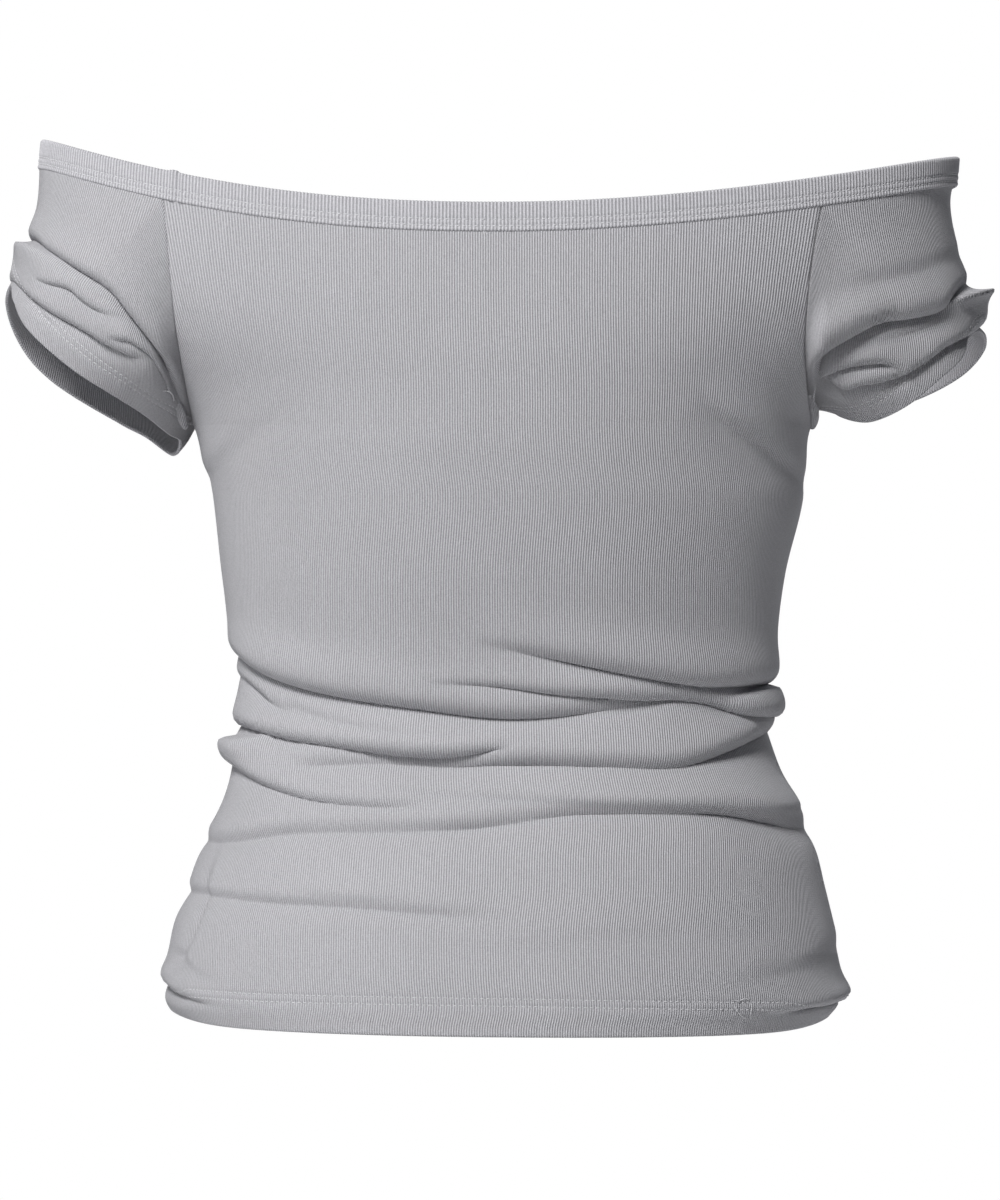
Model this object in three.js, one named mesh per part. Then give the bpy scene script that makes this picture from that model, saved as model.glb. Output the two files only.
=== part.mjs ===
// A fitted, short-sleeved top in fine rib jersey that sits off the shoulders: a hollow of thin cloth walls in
// the shape it has when worn. Millimetres, +Z up. Its back faces -Y and its front +Y, and its left side is at
// -X. The origin is the middle of the neckband's loop.

import * as THREE from "three";

// Cloth
const clothThickness = 1.2;
const hemThickness = 1.7;
const bandThickness = 2.0;
const seamGap = 0.3;
const bodyHemDepth = 14;
const bandHeight = 13.6;
const bandLean = { middle: 2, left: 1.5, right: -1 };
const bandLeanSweep = 4;

// Level cuts through the body, from the neckline down. left and right are where the cut crosses the side,
// back and front how far it reaches behind and before the origin. Above the underarm the cut runs on under
// the sleeves, which cover its ends.
const bodyCuts = [
  { z: 0, left: -212, right: 209, back: 93, front: 84 },
  { z: -20, left: -209, right: 206, back: 95, front: 88 },
  { z: -40, left: -202, right: 199, back: 97, front: 94 },
  { z: -60, left: -190, right: 187, back: 98.5, front: 100 },
  { z: -75, left: -177, right: 174.5, back: 99, front: 104 },
  { z: -88, left: -163.5, right: 162, back: 99, front: 106.5 },
  { z: -98, left: -153.8, right: 153.3, back: 98.5, front: 108 },
  { z: -108, left: -146.3, right: 146.4, back: 98, front: 109.5 },
  { z: -118, left: -141, right: 141.5, back: 97.5, front: 110 },
  { z: -127, left: -138, right: 139.2, back: 97, front: 110 },
  { z: -136, left: -135.8, right: 138.4, back: 96, front: 110 },
  { z: -152, left: -132.3, right: 137.9, back: 94, front: 109 },
  { z: -185, left: -128.3, right: 129.8, back: 88, front: 103 },
  { z: -218, left: -124, right: 125.5, back: 80, front: 95 },
  { z: -250, left: -122, right: 123.5, back: 74, front: 87 },
  { z: -276, left: -125, right: 127.5, back: 79, front: 84 },
  { z: -296, left: -129, right: 136, back: 86, front: 86 },
  { z: -312, left: -138.5, right: 143.5, back: 92, front: 88 },
  { z: -328, left: -143.5, right: 147.5, back: 97, front: 90.5 },
  { z: -345, left: -151, right: 151.5, back: 102, front: 93 },
  { z: -365, left: -154, right: 155, back: 106, front: 96 },
  { z: -380, left: -154.5, right: 157.5, back: 107.5, front: 97 },
  { z: -388, left: -150, right: 150, back: 107.5, front: 97 },
  { z: -394, left: -146, right: 146, back: 107.5, front: 97 },
];
const cutRoundness = 0.92;

// The armhole seams, which run alike behind and before the arm and meet at the underarm
const underarmHeight = -118;
const armholeCuts = [
  { z: -8, left: -153, right: 146 },
  { z: -35, left: -150.5, right: 140.5 },
  { z: -60, left: -148.5, right: 137.5 },
  { z: -85, left: -146, right: 136.5 },
  { z: -103, left: -143.3, right: 138.6 },
  { z: underarmHeight, left: -141, right: 141.5 },
];

// Neckline and hem, as the height of the edge in the middle of the back, at each side and in front
const necklineBack = -33.8;
const necklineFront = -42;
const necklineLeft = 0;
const necklineRight = -8;
const necklineSweepLeft = 2.15;
const necklineSweepRight = 1.8;
const hemMiddle = -391;
const hemSide = -386.5;
const hemSweep = 12;
const hemTilt = 1.5;

// Folds. Each row is a crease that runs through its points, given as across, height and strength. Above the
// crease the cloth rolls out by crest, at a distance of rise, and below it the trough of the given depth
// fills up again over the distance recover. sag lets the roll hang over the crease. A path that runs from
// right to left has its roll below it. Where a lip is given, it swells at lipReach below the crease.
const backFolds = [
  { name: "high roll on the right", depth: 3.2, crest: 2.6, rise: 6.5, recover: 4, sag: 1.5,
    path: [[-14, -217, 0], [22, -223.5, 0.7], [56, -230.5, 1], [88, -235.5, 1], [132, -234, 1.2]] },
  { name: "thin roll under it", depth: 2.6, crest: 1.6, rise: 4, recover: 5, sag: 1,
    path: [[-40, -235, 0], [-6, -236, 0.5], [40, -240.5, 0.8], [98, -243.5, 1], [132, -247, 1.8]] },
  { name: "long crease", depth: 3.4, crest: 2.2, rise: 8, recover: 5, sag: 1.5,
    path: [[-130, -218, 0.4], [-104, -233, 1.1], [-62, -243, 1], [4, -251, 1], [74, -244, 0]] },
  { name: "short crease on the left", depth: 2.2, crest: 1.4, rise: 5, recover: 4, sag: 0.6,
    path: [[-128, -228, 0.8], [-110, -241.5, 1], [-92, -252, 0]] },
  { name: "faint crease on the left", depth: 1.1, crest: 0.6, rise: 5, recover: 4, sag: 0,
    path: [[-110, -240, 0], [-84, -251, 1], [-50, -258, 0.8], [-6, -261, 0]] },
  { name: "sharp overhang on the left", depth: 3.2, crest: 1.8, rise: 3.5, recover: 4, sag: 1.6,
    path: [[-130, -252, 0.8], [-94, -259.5, 1.1], [-58, -263.5, 1.1], [-28, -265.5, 1], [12, -263, 0]] },
  { name: "waist crease", depth: 3, crest: 2.8, rise: 8, recover: 4.5, sag: 1.5,
    path: [[-132, -266, 0.6], [-97, -274.5, 0.8], [-40, -273, 0.8], [22, -271.5, 1], [58, -274, 1],
      [96, -270.5, 1], [132, -252, 0.6]] },
  { name: "low crease on the left", depth: 2.4, crest: 1.2, rise: 5, recover: 4, sag: 0.6,
    path: [[-134, -271, 0.7], [-105, -284, 1], [-74, -290.5, 1], [-28, -290, 0]] },
  { name: "heavy hip roll", depth: 3.4, crest: 4, rise: 9, recover: 6, sag: 2,
    path: [[-40, -303, 0], [-4, -300.5, 0.5], [30, -295.5, 0.8], [92, -294.5, 1], [121, -299, 1],
      [144, -306, 0.3]] },
  { name: "hip crease on the left", depth: 2.2, crest: 2, rise: 9, recover: 6, sag: 0.8,
    path: [[-146, -312, 0.5], [-112, -307, 1], [-80, -303.5, 0.9], [-36, -302.5, 0.7], [8, -299, 0]] },
  { name: "soft crease over the hem", depth: 1.7, crest: 1.3, rise: 10, recover: 8, sag: 0.4,
    path: [[-156, -333, 0.5], [-107, -334, 1], [-70, -336, 0.8], [-30, -339, 0.6], [16, -340, 0]] },
  { name: "knob at the left side", depth: 0, crest: 4.5, rise: 3, recover: 3, sag: 0,
    path: [[-104, -257, 0], [-113, -260, 0.7], [-121, -260.6, 1], [-140, -260.8, 1]] },
  { name: "knob at the right side", depth: 0, crest: 5, rise: 5, recover: 3, sag: 0,
    path: [[140, -238, 1], [122, -238.4, 1], [112, -240, 0.6], [100, -242, 0]] },
  { name: "drag from the right underarm", depth: 1.5, crest: 1.4, rise: 9, recover: 12, sag: 0,
    path: [[86, -108, 0], [112, -124, 0.8], [125, -137, 0.8], [140, -148, 0.1]] },
  { name: "drag from the left underarm", depth: 1, crest: 1, rise: 9, recover: 12, sag: 0,
    path: [[-146, -150, 0.8], [-130, -140, 1], [-112, -124, 0.5], [-94, -112, 0]] },
];
const frontFolds = [
  { name: "high roll", depth: 2.8, crest: 2.2, rise: 7, recover: 4, sag: 1.2,
    path: [[-70, -226, 0], [-20, -229, 0.8], [40, -226, 1], [90, -231, 0.8], [132, -238, 0.6]] },
  { name: "left crease", depth: 3, crest: 2, rise: 8, recover: 5, sag: 1.2,
    path: [[-132, -222, 0.8], [-96, -236, 1], [-40, -248, 1], [20, -250, 0.7], [60, -245, 0]] },
  { name: "waist crease", depth: 3, crest: 2.6, rise: 8, recover: 5, sag: 1.5,
    path: [[-132, -262, 0.8], [-80, -270, 1], [-10, -266, 0.8], [50, -262, 1], [132, -258, 1]] },
  { name: "low crease", depth: 2.4, crest: 2.2, rise: 8, recover: 5, sag: 1,
    path: [[-60, -292, 0], [0, -288, 0.9], [60, -284, 1], [132, -290, 0.9]] },
  { name: "hip crease", depth: 2, crest: 1.6, rise: 9, recover: 6, sag: 0.6,
    path: [[-146, -306, 1], [-90, -309, 1], [-20, -313, 0.7], [40, -311, 0]] },
  { name: "drag from the right underarm", depth: 1.4, crest: 1.2, rise: 9, recover: 12, sag: 0,
    path: [[84, -112, 0], [110, -126, 1], [146, -146, 0.8]] },
  { name: "drag from the left underarm", depth: 1.4, crest: 1.2, rise: 9, recover: 12, sag: 0,
    path: [[-146, -146, 0.8], [-110, -128, 1], [-86, -112, 0]] },
];
const sideBlend = THREE.MathUtils.degToRad(34);
const armholeHold = 16;

// The left sleeve. Its hem is a slanted ring: out runs from the underarm to the outside, drop is how far the
// edge hangs below the straight line between them, and back is towards the back.
const leftSleeve = {
  side: -1,
  ringMiddle: [-187.6, -91],
  ringOutward: [-0.74, 0.67],
  ring: [
    { turn: 0, out: -52, drop: -2, back: 0 },
    { turn: 0.06, out: -46.5, drop: -1.2, back: 16 },
    { turn: 0.13, out: -33, drop: -0.5, back: 31 },
    { turn: 0.2, out: -16, drop: 2.5, back: 42 },
    { turn: 0.28, out: 6, drop: 6, back: 43 },
    { turn: 0.37, out: 32, drop: 6, back: 33 },
    { turn: 0.44, out: 46.5, drop: 1, back: 17 },
    { turn: 0.5, out: 53, drop: -3, back: 2 },
    { turn: 0.56, out: 50.5, drop: 5, back: -14 },
    { turn: 0.64, out: 39, drop: 13.5, back: -31 },
    { turn: 0.69, out: 25, drop: 17.7, back: -39 },
    { turn: 0.74, out: 8, drop: 17.6, back: -43 },
    { turn: 0.86, out: -26, drop: 10.8, back: -34 },
    { turn: 0.9, out: -38, drop: 7.6, back: -24 },
    { turn: 0.94, out: -53, drop: 5.5, back: -12 },
  ],
  turnAtSeamTop: 0.33,
  armAxis: -168,
  bulge: 4,
  folds: [
    { name: "long valley", depth: 2.6, crest: 1.6, rise: 5, recover: 2.5, lip: 2.4, lipReach: 5, sag: 1.2,
      path: [[-226, -35, 0.8], [-207, -38, 0.9], [-183, -54, 1], [-168, -67, 1], [-153, -86, 1.2],
        [-146, -106, 0.4]] },
    { name: "lower tier standing out", depth: 0, crest: 0, rise: 4, recover: 3, lip: 4, lipReach: 6, sag: 0,
      path: [[-232, -36, 1], [-212, -38, 0.8], [-192, -50, 0]] },
    { name: "line along the lower tier", depth: 1, crest: 0.5, rise: 3, recover: 3, sag: 0,
      path: [[-210, -52, 0], [-196, -57, 1], [-174, -72, 0]] },
    { name: "lower valley", depth: 1.8, crest: 1, rise: 4, recover: 3, lip: 1, lipReach: 6, sag: 0.6,
      path: [[-224, -53, 0.6], [-206, -66, 1], [-186, -77, 1], [-168, -86, 0.9], [-158, -89, 0]] },
    { name: "nip at the armhole", depth: 1.6, crest: 0.6, rise: 4, recover: 3, sag: 0,
      path: [[-172, -80, 0], [-160, -84, 1], [-148, -99, 0.6]] },
  ],
};
const rightSleeve = {
  side: 1,
  ringMiddle: [182.8, -91],
  ringOutward: [0.936, 0.353],
  ring: [
    { turn: 0, out: -42, drop: -3, back: 0 },
    { turn: 0.06, out: -39, drop: 4, back: 14 },
    { turn: 0.12, out: -33, drop: 12, back: 26 },
    { turn: 0.18, out: -23, drop: 18, back: 36 },
    { turn: 0.25, out: -6, drop: 17, back: 42 },
    { turn: 0.33, out: 12, drop: 11, back: 39 },
    { turn: 0.4, out: 25, drop: 6, back: 30 },
    { turn: 0.46, out: 35, drop: -2, back: 16 },
    { turn: 0.5, out: 41.5, drop: -3, back: 0 },
    { turn: 0.56, out: 40, drop: 5.5, back: -17 },
    { turn: 0.64, out: 27, drop: 13, back: -32 },
    { turn: 0.74, out: 3, drop: 15.5, back: -42 },
    { turn: 0.86, out: -27, drop: 11, back: -31 },
    { turn: 0.94, out: -40, drop: 3, back: -14 },
  ],
  turnAtSeamTop: 0.33,
  armAxis: 164,
  bulge: 4,
  folds: [
    { name: "overhang of the upper tier", depth: 3.2, crest: 2.6, rise: 5, recover: 5, sag: 2,
      path: [[144, -80, 0.6], [152, -77, 1], [168, -71, 1], [187, -66, 1], [203, -61, 1], [224, -51, 0.4]] },
    { name: "flap at the outside", depth: 0, crest: 0, rise: 4, recover: 3, lip: 7, lipReach: 4, sag: 0,
      path: [[200, -62, 0], [213, -57, 0.7], [230, -51, 1]] },
    { name: "arc across the lower tier", depth: 1.8, crest: 0.8, rise: 4, recover: 3, lip: 1, lipReach: 6,
      sag: 0.5,
      path: [[144, -98, 0.7], [156, -92, 1], [169, -90.5, 0.9], [182, -92, 0]] },
    { name: "long lower crease", depth: 2, crest: 1.4, rise: 4, recover: 3, lip: 1.4, lipReach: 6, sag: 0.8,
      path: [[144, -100, 0], [160, -100, 1], [176, -96.5, 1], [190, -89, 1], [208, -76, 1], [224, -66, 1]] },
    { name: "faint line on the lower tier", depth: 0.8, crest: 0.4, rise: 3, recover: 3, sag: 0,
      path: [[170, -80, 0], [186, -76, 1], [198, -72, 0]] },
  ],
};

// How a fold fades: its crest over its rise and crestFade more, its lip quickly upwards and slowly down
const crestFade = 4;
const lipSwell = 0.7;
const lipFade = 2;

// Where folds are held flat: the share of a panel's half width next to an armhole, the distance above the
// hem, the distance from a sleeve's upper edge, and a sleeve this short altogether
const armholeFade = 0.7;
const bodyHemHold = 2 * bodyHemDepth;
const sleeveSeamHold = 18;
const shortSleeveHold = 40;

// The body's rows bend to the hem's line over this height, and the hem's thickness ends over hemStep
const hemReach = 84;
const hemStep = 1;

// A sleeve's hem is turned up by sleeveHemDepth, and by less where the sleeve is shorter than fullHemLength.
// Its upper edge stands off the armhole seam by a little, and by more at the underarm, where it leaves the
// body at an angle.
const sleeveHemDepth = 12;
const sleeveHemRows = [sleeveHemDepth, sleeveHemDepth - hemStep, sleeveHemDepth / 2, 0];
const fullHemLength = 36;
const seamStandOff = 0.35;
const underarmStandOff = 2;
const standOffRows = 6;

// Small steps to either side of a point, by which directions are measured
const angleProbe = 0.01;
const heightProbe = 0.5;
const cellProbe = 0.08;
const climbProbe = 0.2;

// How finely each wall is divided
const pathSteps = 6;
const armholeRows = 11;
const armholeBunching = 1.7;
const backColumns = 24;
const frontColumns = 20;
const sleeveArcColumns = 14;
const sleeveRows = 14;
const bandColumns = 84;
const rowSpacing = [
  { below: underarmHeight, step: 12 },
  { below: -208, step: 4.6 },
  { below: -316, step: 9 },
];

// A smooth curve through the rows of a table, read at any value of key
function curveThrough(rows, key, column) {
  const sorted = [...rows].sort((a, b) => a[key] - b[key]);
  const slope = (i) => {
    const before = sorted[Math.max(i - 1, 0)];
    const after = sorted[Math.min(i + 1, sorted.length - 1)];
    return (after[column] - before[column]) / (after[key] - before[key]);
  };
  return (value) => {
    let i = sorted.findIndex((row) => row[key] > value) - 1;
    if (i < -1) i = sorted.length - 2;
    i = Math.min(Math.max(i, 0), sorted.length - 2);
    const span = sorted[i + 1][key] - sorted[i][key];
    const f = THREE.MathUtils.clamp((value - sorted[i][key]) / span, 0, 1);
    const f2 = f * f;
    const f3 = f2 * f;
    return (2 * f3 - 3 * f2 + 1) * sorted[i][column] + (f3 - 2 * f2 + f) * span * slope(i)
      + (3 * f2 - 2 * f3) * sorted[i + 1][column] + (f3 - f2) * span * slope(i + 1);
  };
}

const cutLeft = curveThrough(bodyCuts, "z", "left");
const cutRight = curveThrough(bodyCuts, "z", "right");
const cutBack = curveThrough(bodyCuts, "z", "back");
const cutFront = curveThrough(bodyCuts, "z", "front");
const armholeLeft = curveThrough(armholeCuts, "z", "left");
const armholeRight = curveThrough(armholeCuts, "z", "right");

// A point of the smooth body. The angle is 0 in the middle of the back, a quarter turn at the right side and
// a half turn in the middle of the front.
function bodyCut(angle, z) {
  const middle = (cutLeft(z) + cutRight(z)) / 2;
  const halfWidth = (cutRight(z) - cutLeft(z)) / 2;
  const across = Math.sign(Math.sin(angle)) * Math.abs(Math.sin(angle)) ** cutRoundness;
  const through = Math.abs(Math.cos(angle)) ** cutRoundness;
  const depth = Math.cos(angle) > 0 ? -cutBack(z) : cutFront(z);
  return new THREE.Vector3(middle + halfWidth * across, depth * through, z);
}

// The angle at which the body ends on one side, at the armhole seam or, below the underarm, at the side seam
function edgeAngle(side, z) {
  if (z <= underarmHeight) return Math.PI / 2;
  const middle = (cutLeft(z) + cutRight(z)) / 2;
  const halfWidth = (cutRight(z) - cutLeft(z)) / 2;
  const seam = side < 0 ? armholeLeft(z) : armholeRight(z);
  const across = THREE.MathUtils.clamp(Math.abs(seam - middle) / halfWidth, 0, 1);
  return Math.asin(across ** (1 / cutRoundness));
}

function necklineHeight(angle) {
  const middle = Math.cos(angle) > 0 ? necklineBack : necklineFront;
  const sideways = Math.sin(angle);
  if (sideways < 0) return middle + (necklineLeft - middle) * (-sideways) ** necklineSweepLeft;
  return middle + (necklineRight - middle) * sideways ** necklineSweepRight;
}

function hemHeight(angle) {
  const sideways = Math.sin(angle);
  return hemMiddle - hemTilt * sideways + (hemSide - hemMiddle) * Math.abs(sideways) ** hemSweep;
}

// A fold's path as short straight steps, with its strength at each
function tracePath(fold) {
  const points = fold.path.map(([x, z, strength]) => new THREE.Vector3(x, z, strength));
  return new THREE.CatmullRomCurve3(points).getPoints(pathSteps * fold.path.length);
}

// Distance from a fold's path, positive above it, and the strength at the nearest point
function nearestOnPath(steps, x, z) {
  let best = { distance: Infinity, strength: 0 };
  for (let i = 0; i < steps.length - 1; i += 1) {
    const dx = steps[i + 1].x - steps[i].x;
    const dz = steps[i + 1].y - steps[i].y;
    const along = ((x - steps[i].x) * dx + (z - steps[i].y) * dz) / (dx * dx + dz * dz);
    const f = THREE.MathUtils.clamp(along, 0, 1);
    const offX = x - steps[i].x - f * dx;
    const offZ = z - steps[i].y - f * dz;
    const distance = Math.hypot(offX, offZ);
    if (distance < Math.abs(best.distance)) {
      const above = dx * offZ - dz * offX >= 0 ? 1 : -1;
      best = { distance: above * distance, strength: THREE.MathUtils.lerp(steps[i].z, steps[i + 1].z, f) };
    }
  }
  return best;
}

// How far one fold moves the cloth outwards, and up or down
function foldShape(fold, distance) {
  if (distance < 0) {
    const trough = -fold.depth * Math.exp(distance / fold.recover);
    if (!fold.lip) return [trough, 0];
    const pastLip = -distance - fold.lipReach;
    const lipWidth = fold.lipReach * (pastLip < 0 ? lipSwell : lipFade);
    return [trough + fold.lip * Math.exp(-((pastLip / lipWidth) ** 2)), 0];
  }
  if (distance < fold.rise) {
    const f = distance / fold.rise;
    const out = THREE.MathUtils.lerp(-fold.depth, fold.crest, THREE.MathUtils.smoothstep(f, 0, 1));
    return [out, -fold.sag * Math.sin(Math.PI * f)];
  }
  return [fold.crest * Math.exp(-(((distance - fold.rise) / (fold.rise + crestFade)) ** 2)), 0];
}

function makeFolds(table) {
  const traced = table.map((fold) => ({ fold, steps: tracePath(fold) }));
  return (x, z) => {
    let out = 0;
    let up = 0;
    for (const { fold, steps } of traced) {
      const { distance, strength } = nearestOnPath(steps, x, z);
      const [foldOut, foldUp] = foldShape(fold, distance);
      out += strength * foldOut;
      up += strength * foldUp;
    }
    return [out, up];
  };
}

const backFold = makeFolds(backFolds);
const frontFold = makeFolds(frontFolds);

// The folds of the back run round the side seams and pass there into those of the front
function bodyFold(angle, point) {
  if (Math.cos(angle) >= 0) return backFold(point.x, point.z);
  const side = Math.sign(Math.sin(angle));
  const share = THREE.MathUtils.smoothstep(Math.acos(Math.abs(Math.sin(angle))), 0, sideBlend);
  const edge = side < 0 ? cutLeft(point.z) : cutRight(point.z);
  const [edgeOut, edgeUp] = backFold(edge, point.z);
  const [frontOut, frontUp] = frontFold(point.x, point.z);
  return [THREE.MathUtils.lerp(edgeOut, frontOut, share), THREE.MathUtils.lerp(edgeUp, frontUp, share)];
}

// Folds fade out towards the edges, which the band and the hem's stitching hold flat
function holdFlat(distance, reach) {
  return THREE.MathUtils.smoothstep(distance, 0, reach);
}

function alongBody(angle, z) {
  return bodyCut(angle + angleProbe, z).sub(bodyCut(angle - angleProbe, z));
}

// The level direction that points straight out of the body
function outwardAt(angle, z) {
  const along = alongBody(angle, z);
  return new THREE.Vector3(along.y, -along.x, 0).normalize();
}

// The direction square to the smooth body
function bodyNormal(angle, z) {
  const rise = bodyCut(angle, z + heightProbe).sub(bodyCut(angle, z - heightProbe));
  return alongBody(angle, z).cross(rise).normalize();
}

// A point of the body with its folds, which fade towards the hem and towards the armhole seams
function bodyPoint(angle, z, seamShare) {
  const point = bodyCut(angle, z);
  const outward = outwardAt(angle, z);
  const [out, up] = bodyFold(angle, point);
  const nearArmhole = THREE.MathUtils.smoothstep(seamShare, armholeFade, 1)
    * THREE.MathUtils.smoothstep(z, underarmHeight - armholeHold, underarmHeight);
  const hold = holdFlat(z - hemHeight(angle), bodyHemHold) * (1 - nearArmhole);
  point.addScaledVector(outward, out * hold);
  point.z += up * hold;
  return point;
}

// A closed wall from a sheet of points. surface gives the point in the middle of the cloth for a column and a
// row, both also between and a little past the whole numbers, thickness the cloth's thickness there, and
// seamNormal the direction of the thickness where the wall meets another.
function makeWall(name, columns, rows, surface, thickness, material, { closed = false, seamNormal } = {}) {
  const outer = [];
  const inner = [];
  const columnCount = closed ? columns : columns + 1;
  for (let j = 0; j <= rows; j += 1) {
    for (let i = 0; i < columnCount; i += 1) {
      const middle = surface(i, j);
      const across = surface(i + cellProbe, j).sub(surface(i - cellProbe, j));
      const upper = surface(i, Math.min(j + cellProbe, rows));
      const lower = surface(i, Math.max(j - cellProbe, 0));
      const normal = seamNormal?.(i, j) ?? across.cross(upper.sub(lower)).normalize();
      const [out, inwards] = thickness(i, j);
      outer.push(middle.clone().addScaledVector(normal, out));
      inner.push(middle.clone().addScaledVector(normal, -inwards));
    }
  }
  const points = [...outer, ...inner];
  const back = outer.length;
  const at = (i, j) => j * columnCount + (i % columnCount);
  const faces = [];
  const quad = (a, b, c, d) => {
    if (points[a].distanceTo(points[c]) < points[b].distanceTo(points[d])) faces.push(a, b, c, a, c, d);
    else faces.push(a, b, d, b, c, d);
  };
  for (let j = 0; j < rows; j += 1) {
    for (let i = 0; i < columns; i += 1) {
      quad(at(i, j), at(i + 1, j), at(i + 1, j + 1), at(i, j + 1));
      quad(back + at(i, j), back + at(i, j + 1), back + at(i + 1, j + 1), back + at(i + 1, j));
    }
  }
  for (let i = 0; i < columns; i += 1) {
    quad(at(i, 0), back + at(i, 0), back + at(i + 1, 0), at(i + 1, 0));
    quad(at(i, rows), at(i + 1, rows), back + at(i + 1, rows), back + at(i, rows));
  }
  for (let j = 0; j < rows && !closed; j += 1) {
    quad(at(0, j), at(0, j + 1), back + at(0, j + 1), back + at(0, j));
    quad(at(columns, j), back + at(columns, j), back + at(columns, j + 1), at(columns, j + 1));
  }
  const geometry = new THREE.BufferGeometry();
  geometry.setAttribute("position", new THREE.Float32BufferAttribute(points.flatMap((p) => p.toArray()), 3));
  geometry.setIndex(faces);
  geometry.computeVertexNormals();
  const mesh = new THREE.Mesh(geometry, material);
  mesh.name = name;
  return mesh;
}

// A list read at a place between its whole numbers
function readBetween(list, place) {
  const i = Math.min(Math.max(Math.floor(place), 0), list.length - 2);
  return THREE.MathUtils.lerp(list[i], list[i + 1], place - i);
}

// Share of the way from the underarm to the neckline at each row of the armhole, and the heights below it
const armholeShares = [];
for (let j = 0; j <= armholeRows; j += 1) armholeShares.push((j / armholeRows) ** armholeBunching);

function heightsBelowArmhole() {
  const heights = [underarmHeight];
  for (let band = 0; band < rowSpacing.length; band += 1) {
    const end = band + 1 < rowSpacing.length ? rowSpacing[band + 1].below : hemMiddle + bodyHemDepth;
    const start = heights[heights.length - 1];
    const count = Math.round((start - end) / rowSpacing[band].step);
    for (let i = 1; i <= count; i += 1) heights.push(start + ((end - start) * i) / count);
  }
  heights.push(hemMiddle + bodyHemDepth - hemStep, hemMiddle + bodyHemDepth / 2, hemMiddle);
  return heights.reverse();
}

const lowerHeights = heightsBelowArmhole();
const lowerRows = lowerHeights.length - 1;
const bodyRows = lowerRows + armholeRows;

// An angle measured from the middle of the back or of the front, as an angle round the body
function angleFrom(isFront, turn) {
  const angle = isFront ? Math.PI - turn : turn;
  return angle > Math.PI ? angle - 2 * Math.PI : angle;
}

// The armhole seam on one side, at a share of the way up from the underarm: its height, its angle from the
// middle of the panel, and that of its top
function seamPlace(side, share, isFront) {
  const necklineAt = (turn) => necklineHeight(angleFrom(isFront, side * turn)) - seamGap;
  let top = Math.PI / 4;
  for (let round = 0; round < 4; round += 1) top = edgeAngle(side, necklineAt(top));
  const height = THREE.MathUtils.lerp(underarmHeight, necklineAt(top), share);
  return { height, angle: edgeAngle(side, height), top };
}

// Half a seam gap at the side, as an angle
const sideGap = ((seamGap / 2) / cutBack(underarmHeight)) ** (1 / cutRoundness);

// A body panel spans the angle between its two seams. Its rows are level in the middle, and bend to the hem
// and to the neckline.
function bodyPanel(name, columns, isFront, material) {
  const surface = (column, row) => {
    const across = (isFront ? -1 : 1) * (2 * (column / columns) - 1);
    const side = Math.sign(across) || 1;
    const share = Math.abs(across);
    if (row <= lowerRows) {
      const angle = angleFrom(isFront, across * (Math.PI / 2 - sideGap));
      const level = readBetween(lowerHeights, row);
      const aboveHem = level - hemMiddle;
      const nearHem = 1 - THREE.MathUtils.smoothstep(aboveHem, bodyHemDepth, hemReach);
      return bodyPoint(angle, level + (hemHeight(angle) - hemMiddle) * nearHem, share);
    }
    const rise = readBetween(armholeShares, row - lowerRows);
    const seam = seamPlace(side, rise, isFront);
    const angle = angleFrom(isFront, across * Math.min(seam.angle, Math.PI / 2 - sideGap));
    const neckline = necklineHeight(angleFrom(isFront, across * seam.top)) - seamGap;
    return bodyPoint(angle, THREE.MathUtils.lerp(underarmHeight, neckline, rise), share);
  };
  const hemRow = lowerHeights.findIndex((height) => height > hemMiddle + bodyHemDepth - hemStep);
  const thickness = (column, row) => [
    clothThickness / 2,
    row < hemRow ? hemThickness - clothThickness / 2 : clothThickness / 2,
  ];
  return makeWall(name, columns, bodyRows, surface, thickness, material);
}

// The neckband stands on the neckline and leans in or out a little towards its upper edge
function bandPanel(name, material) {
  const surface = (column, row) => {
    const angle = (column / bandColumns) * 2 * Math.PI - Math.PI;
    const point = bodyCut(angle, necklineHeight(angle));
    const end = Math.sin(angle) < 0 ? bandLean.left : bandLean.right;
    const lean = THREE.MathUtils.lerp(bandLean.middle, end, Math.abs(Math.sin(angle)) ** bandLeanSweep);
    point.addScaledVector(outwardAt(angle, 0), -lean * row);
    point.z += bandHeight * row;
    return point;
  };
  const thickness = () => [bandThickness / 2, bandThickness / 2];
  return makeWall(name, bandColumns, 1, surface, thickness, material, { closed: true });
}

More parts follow.
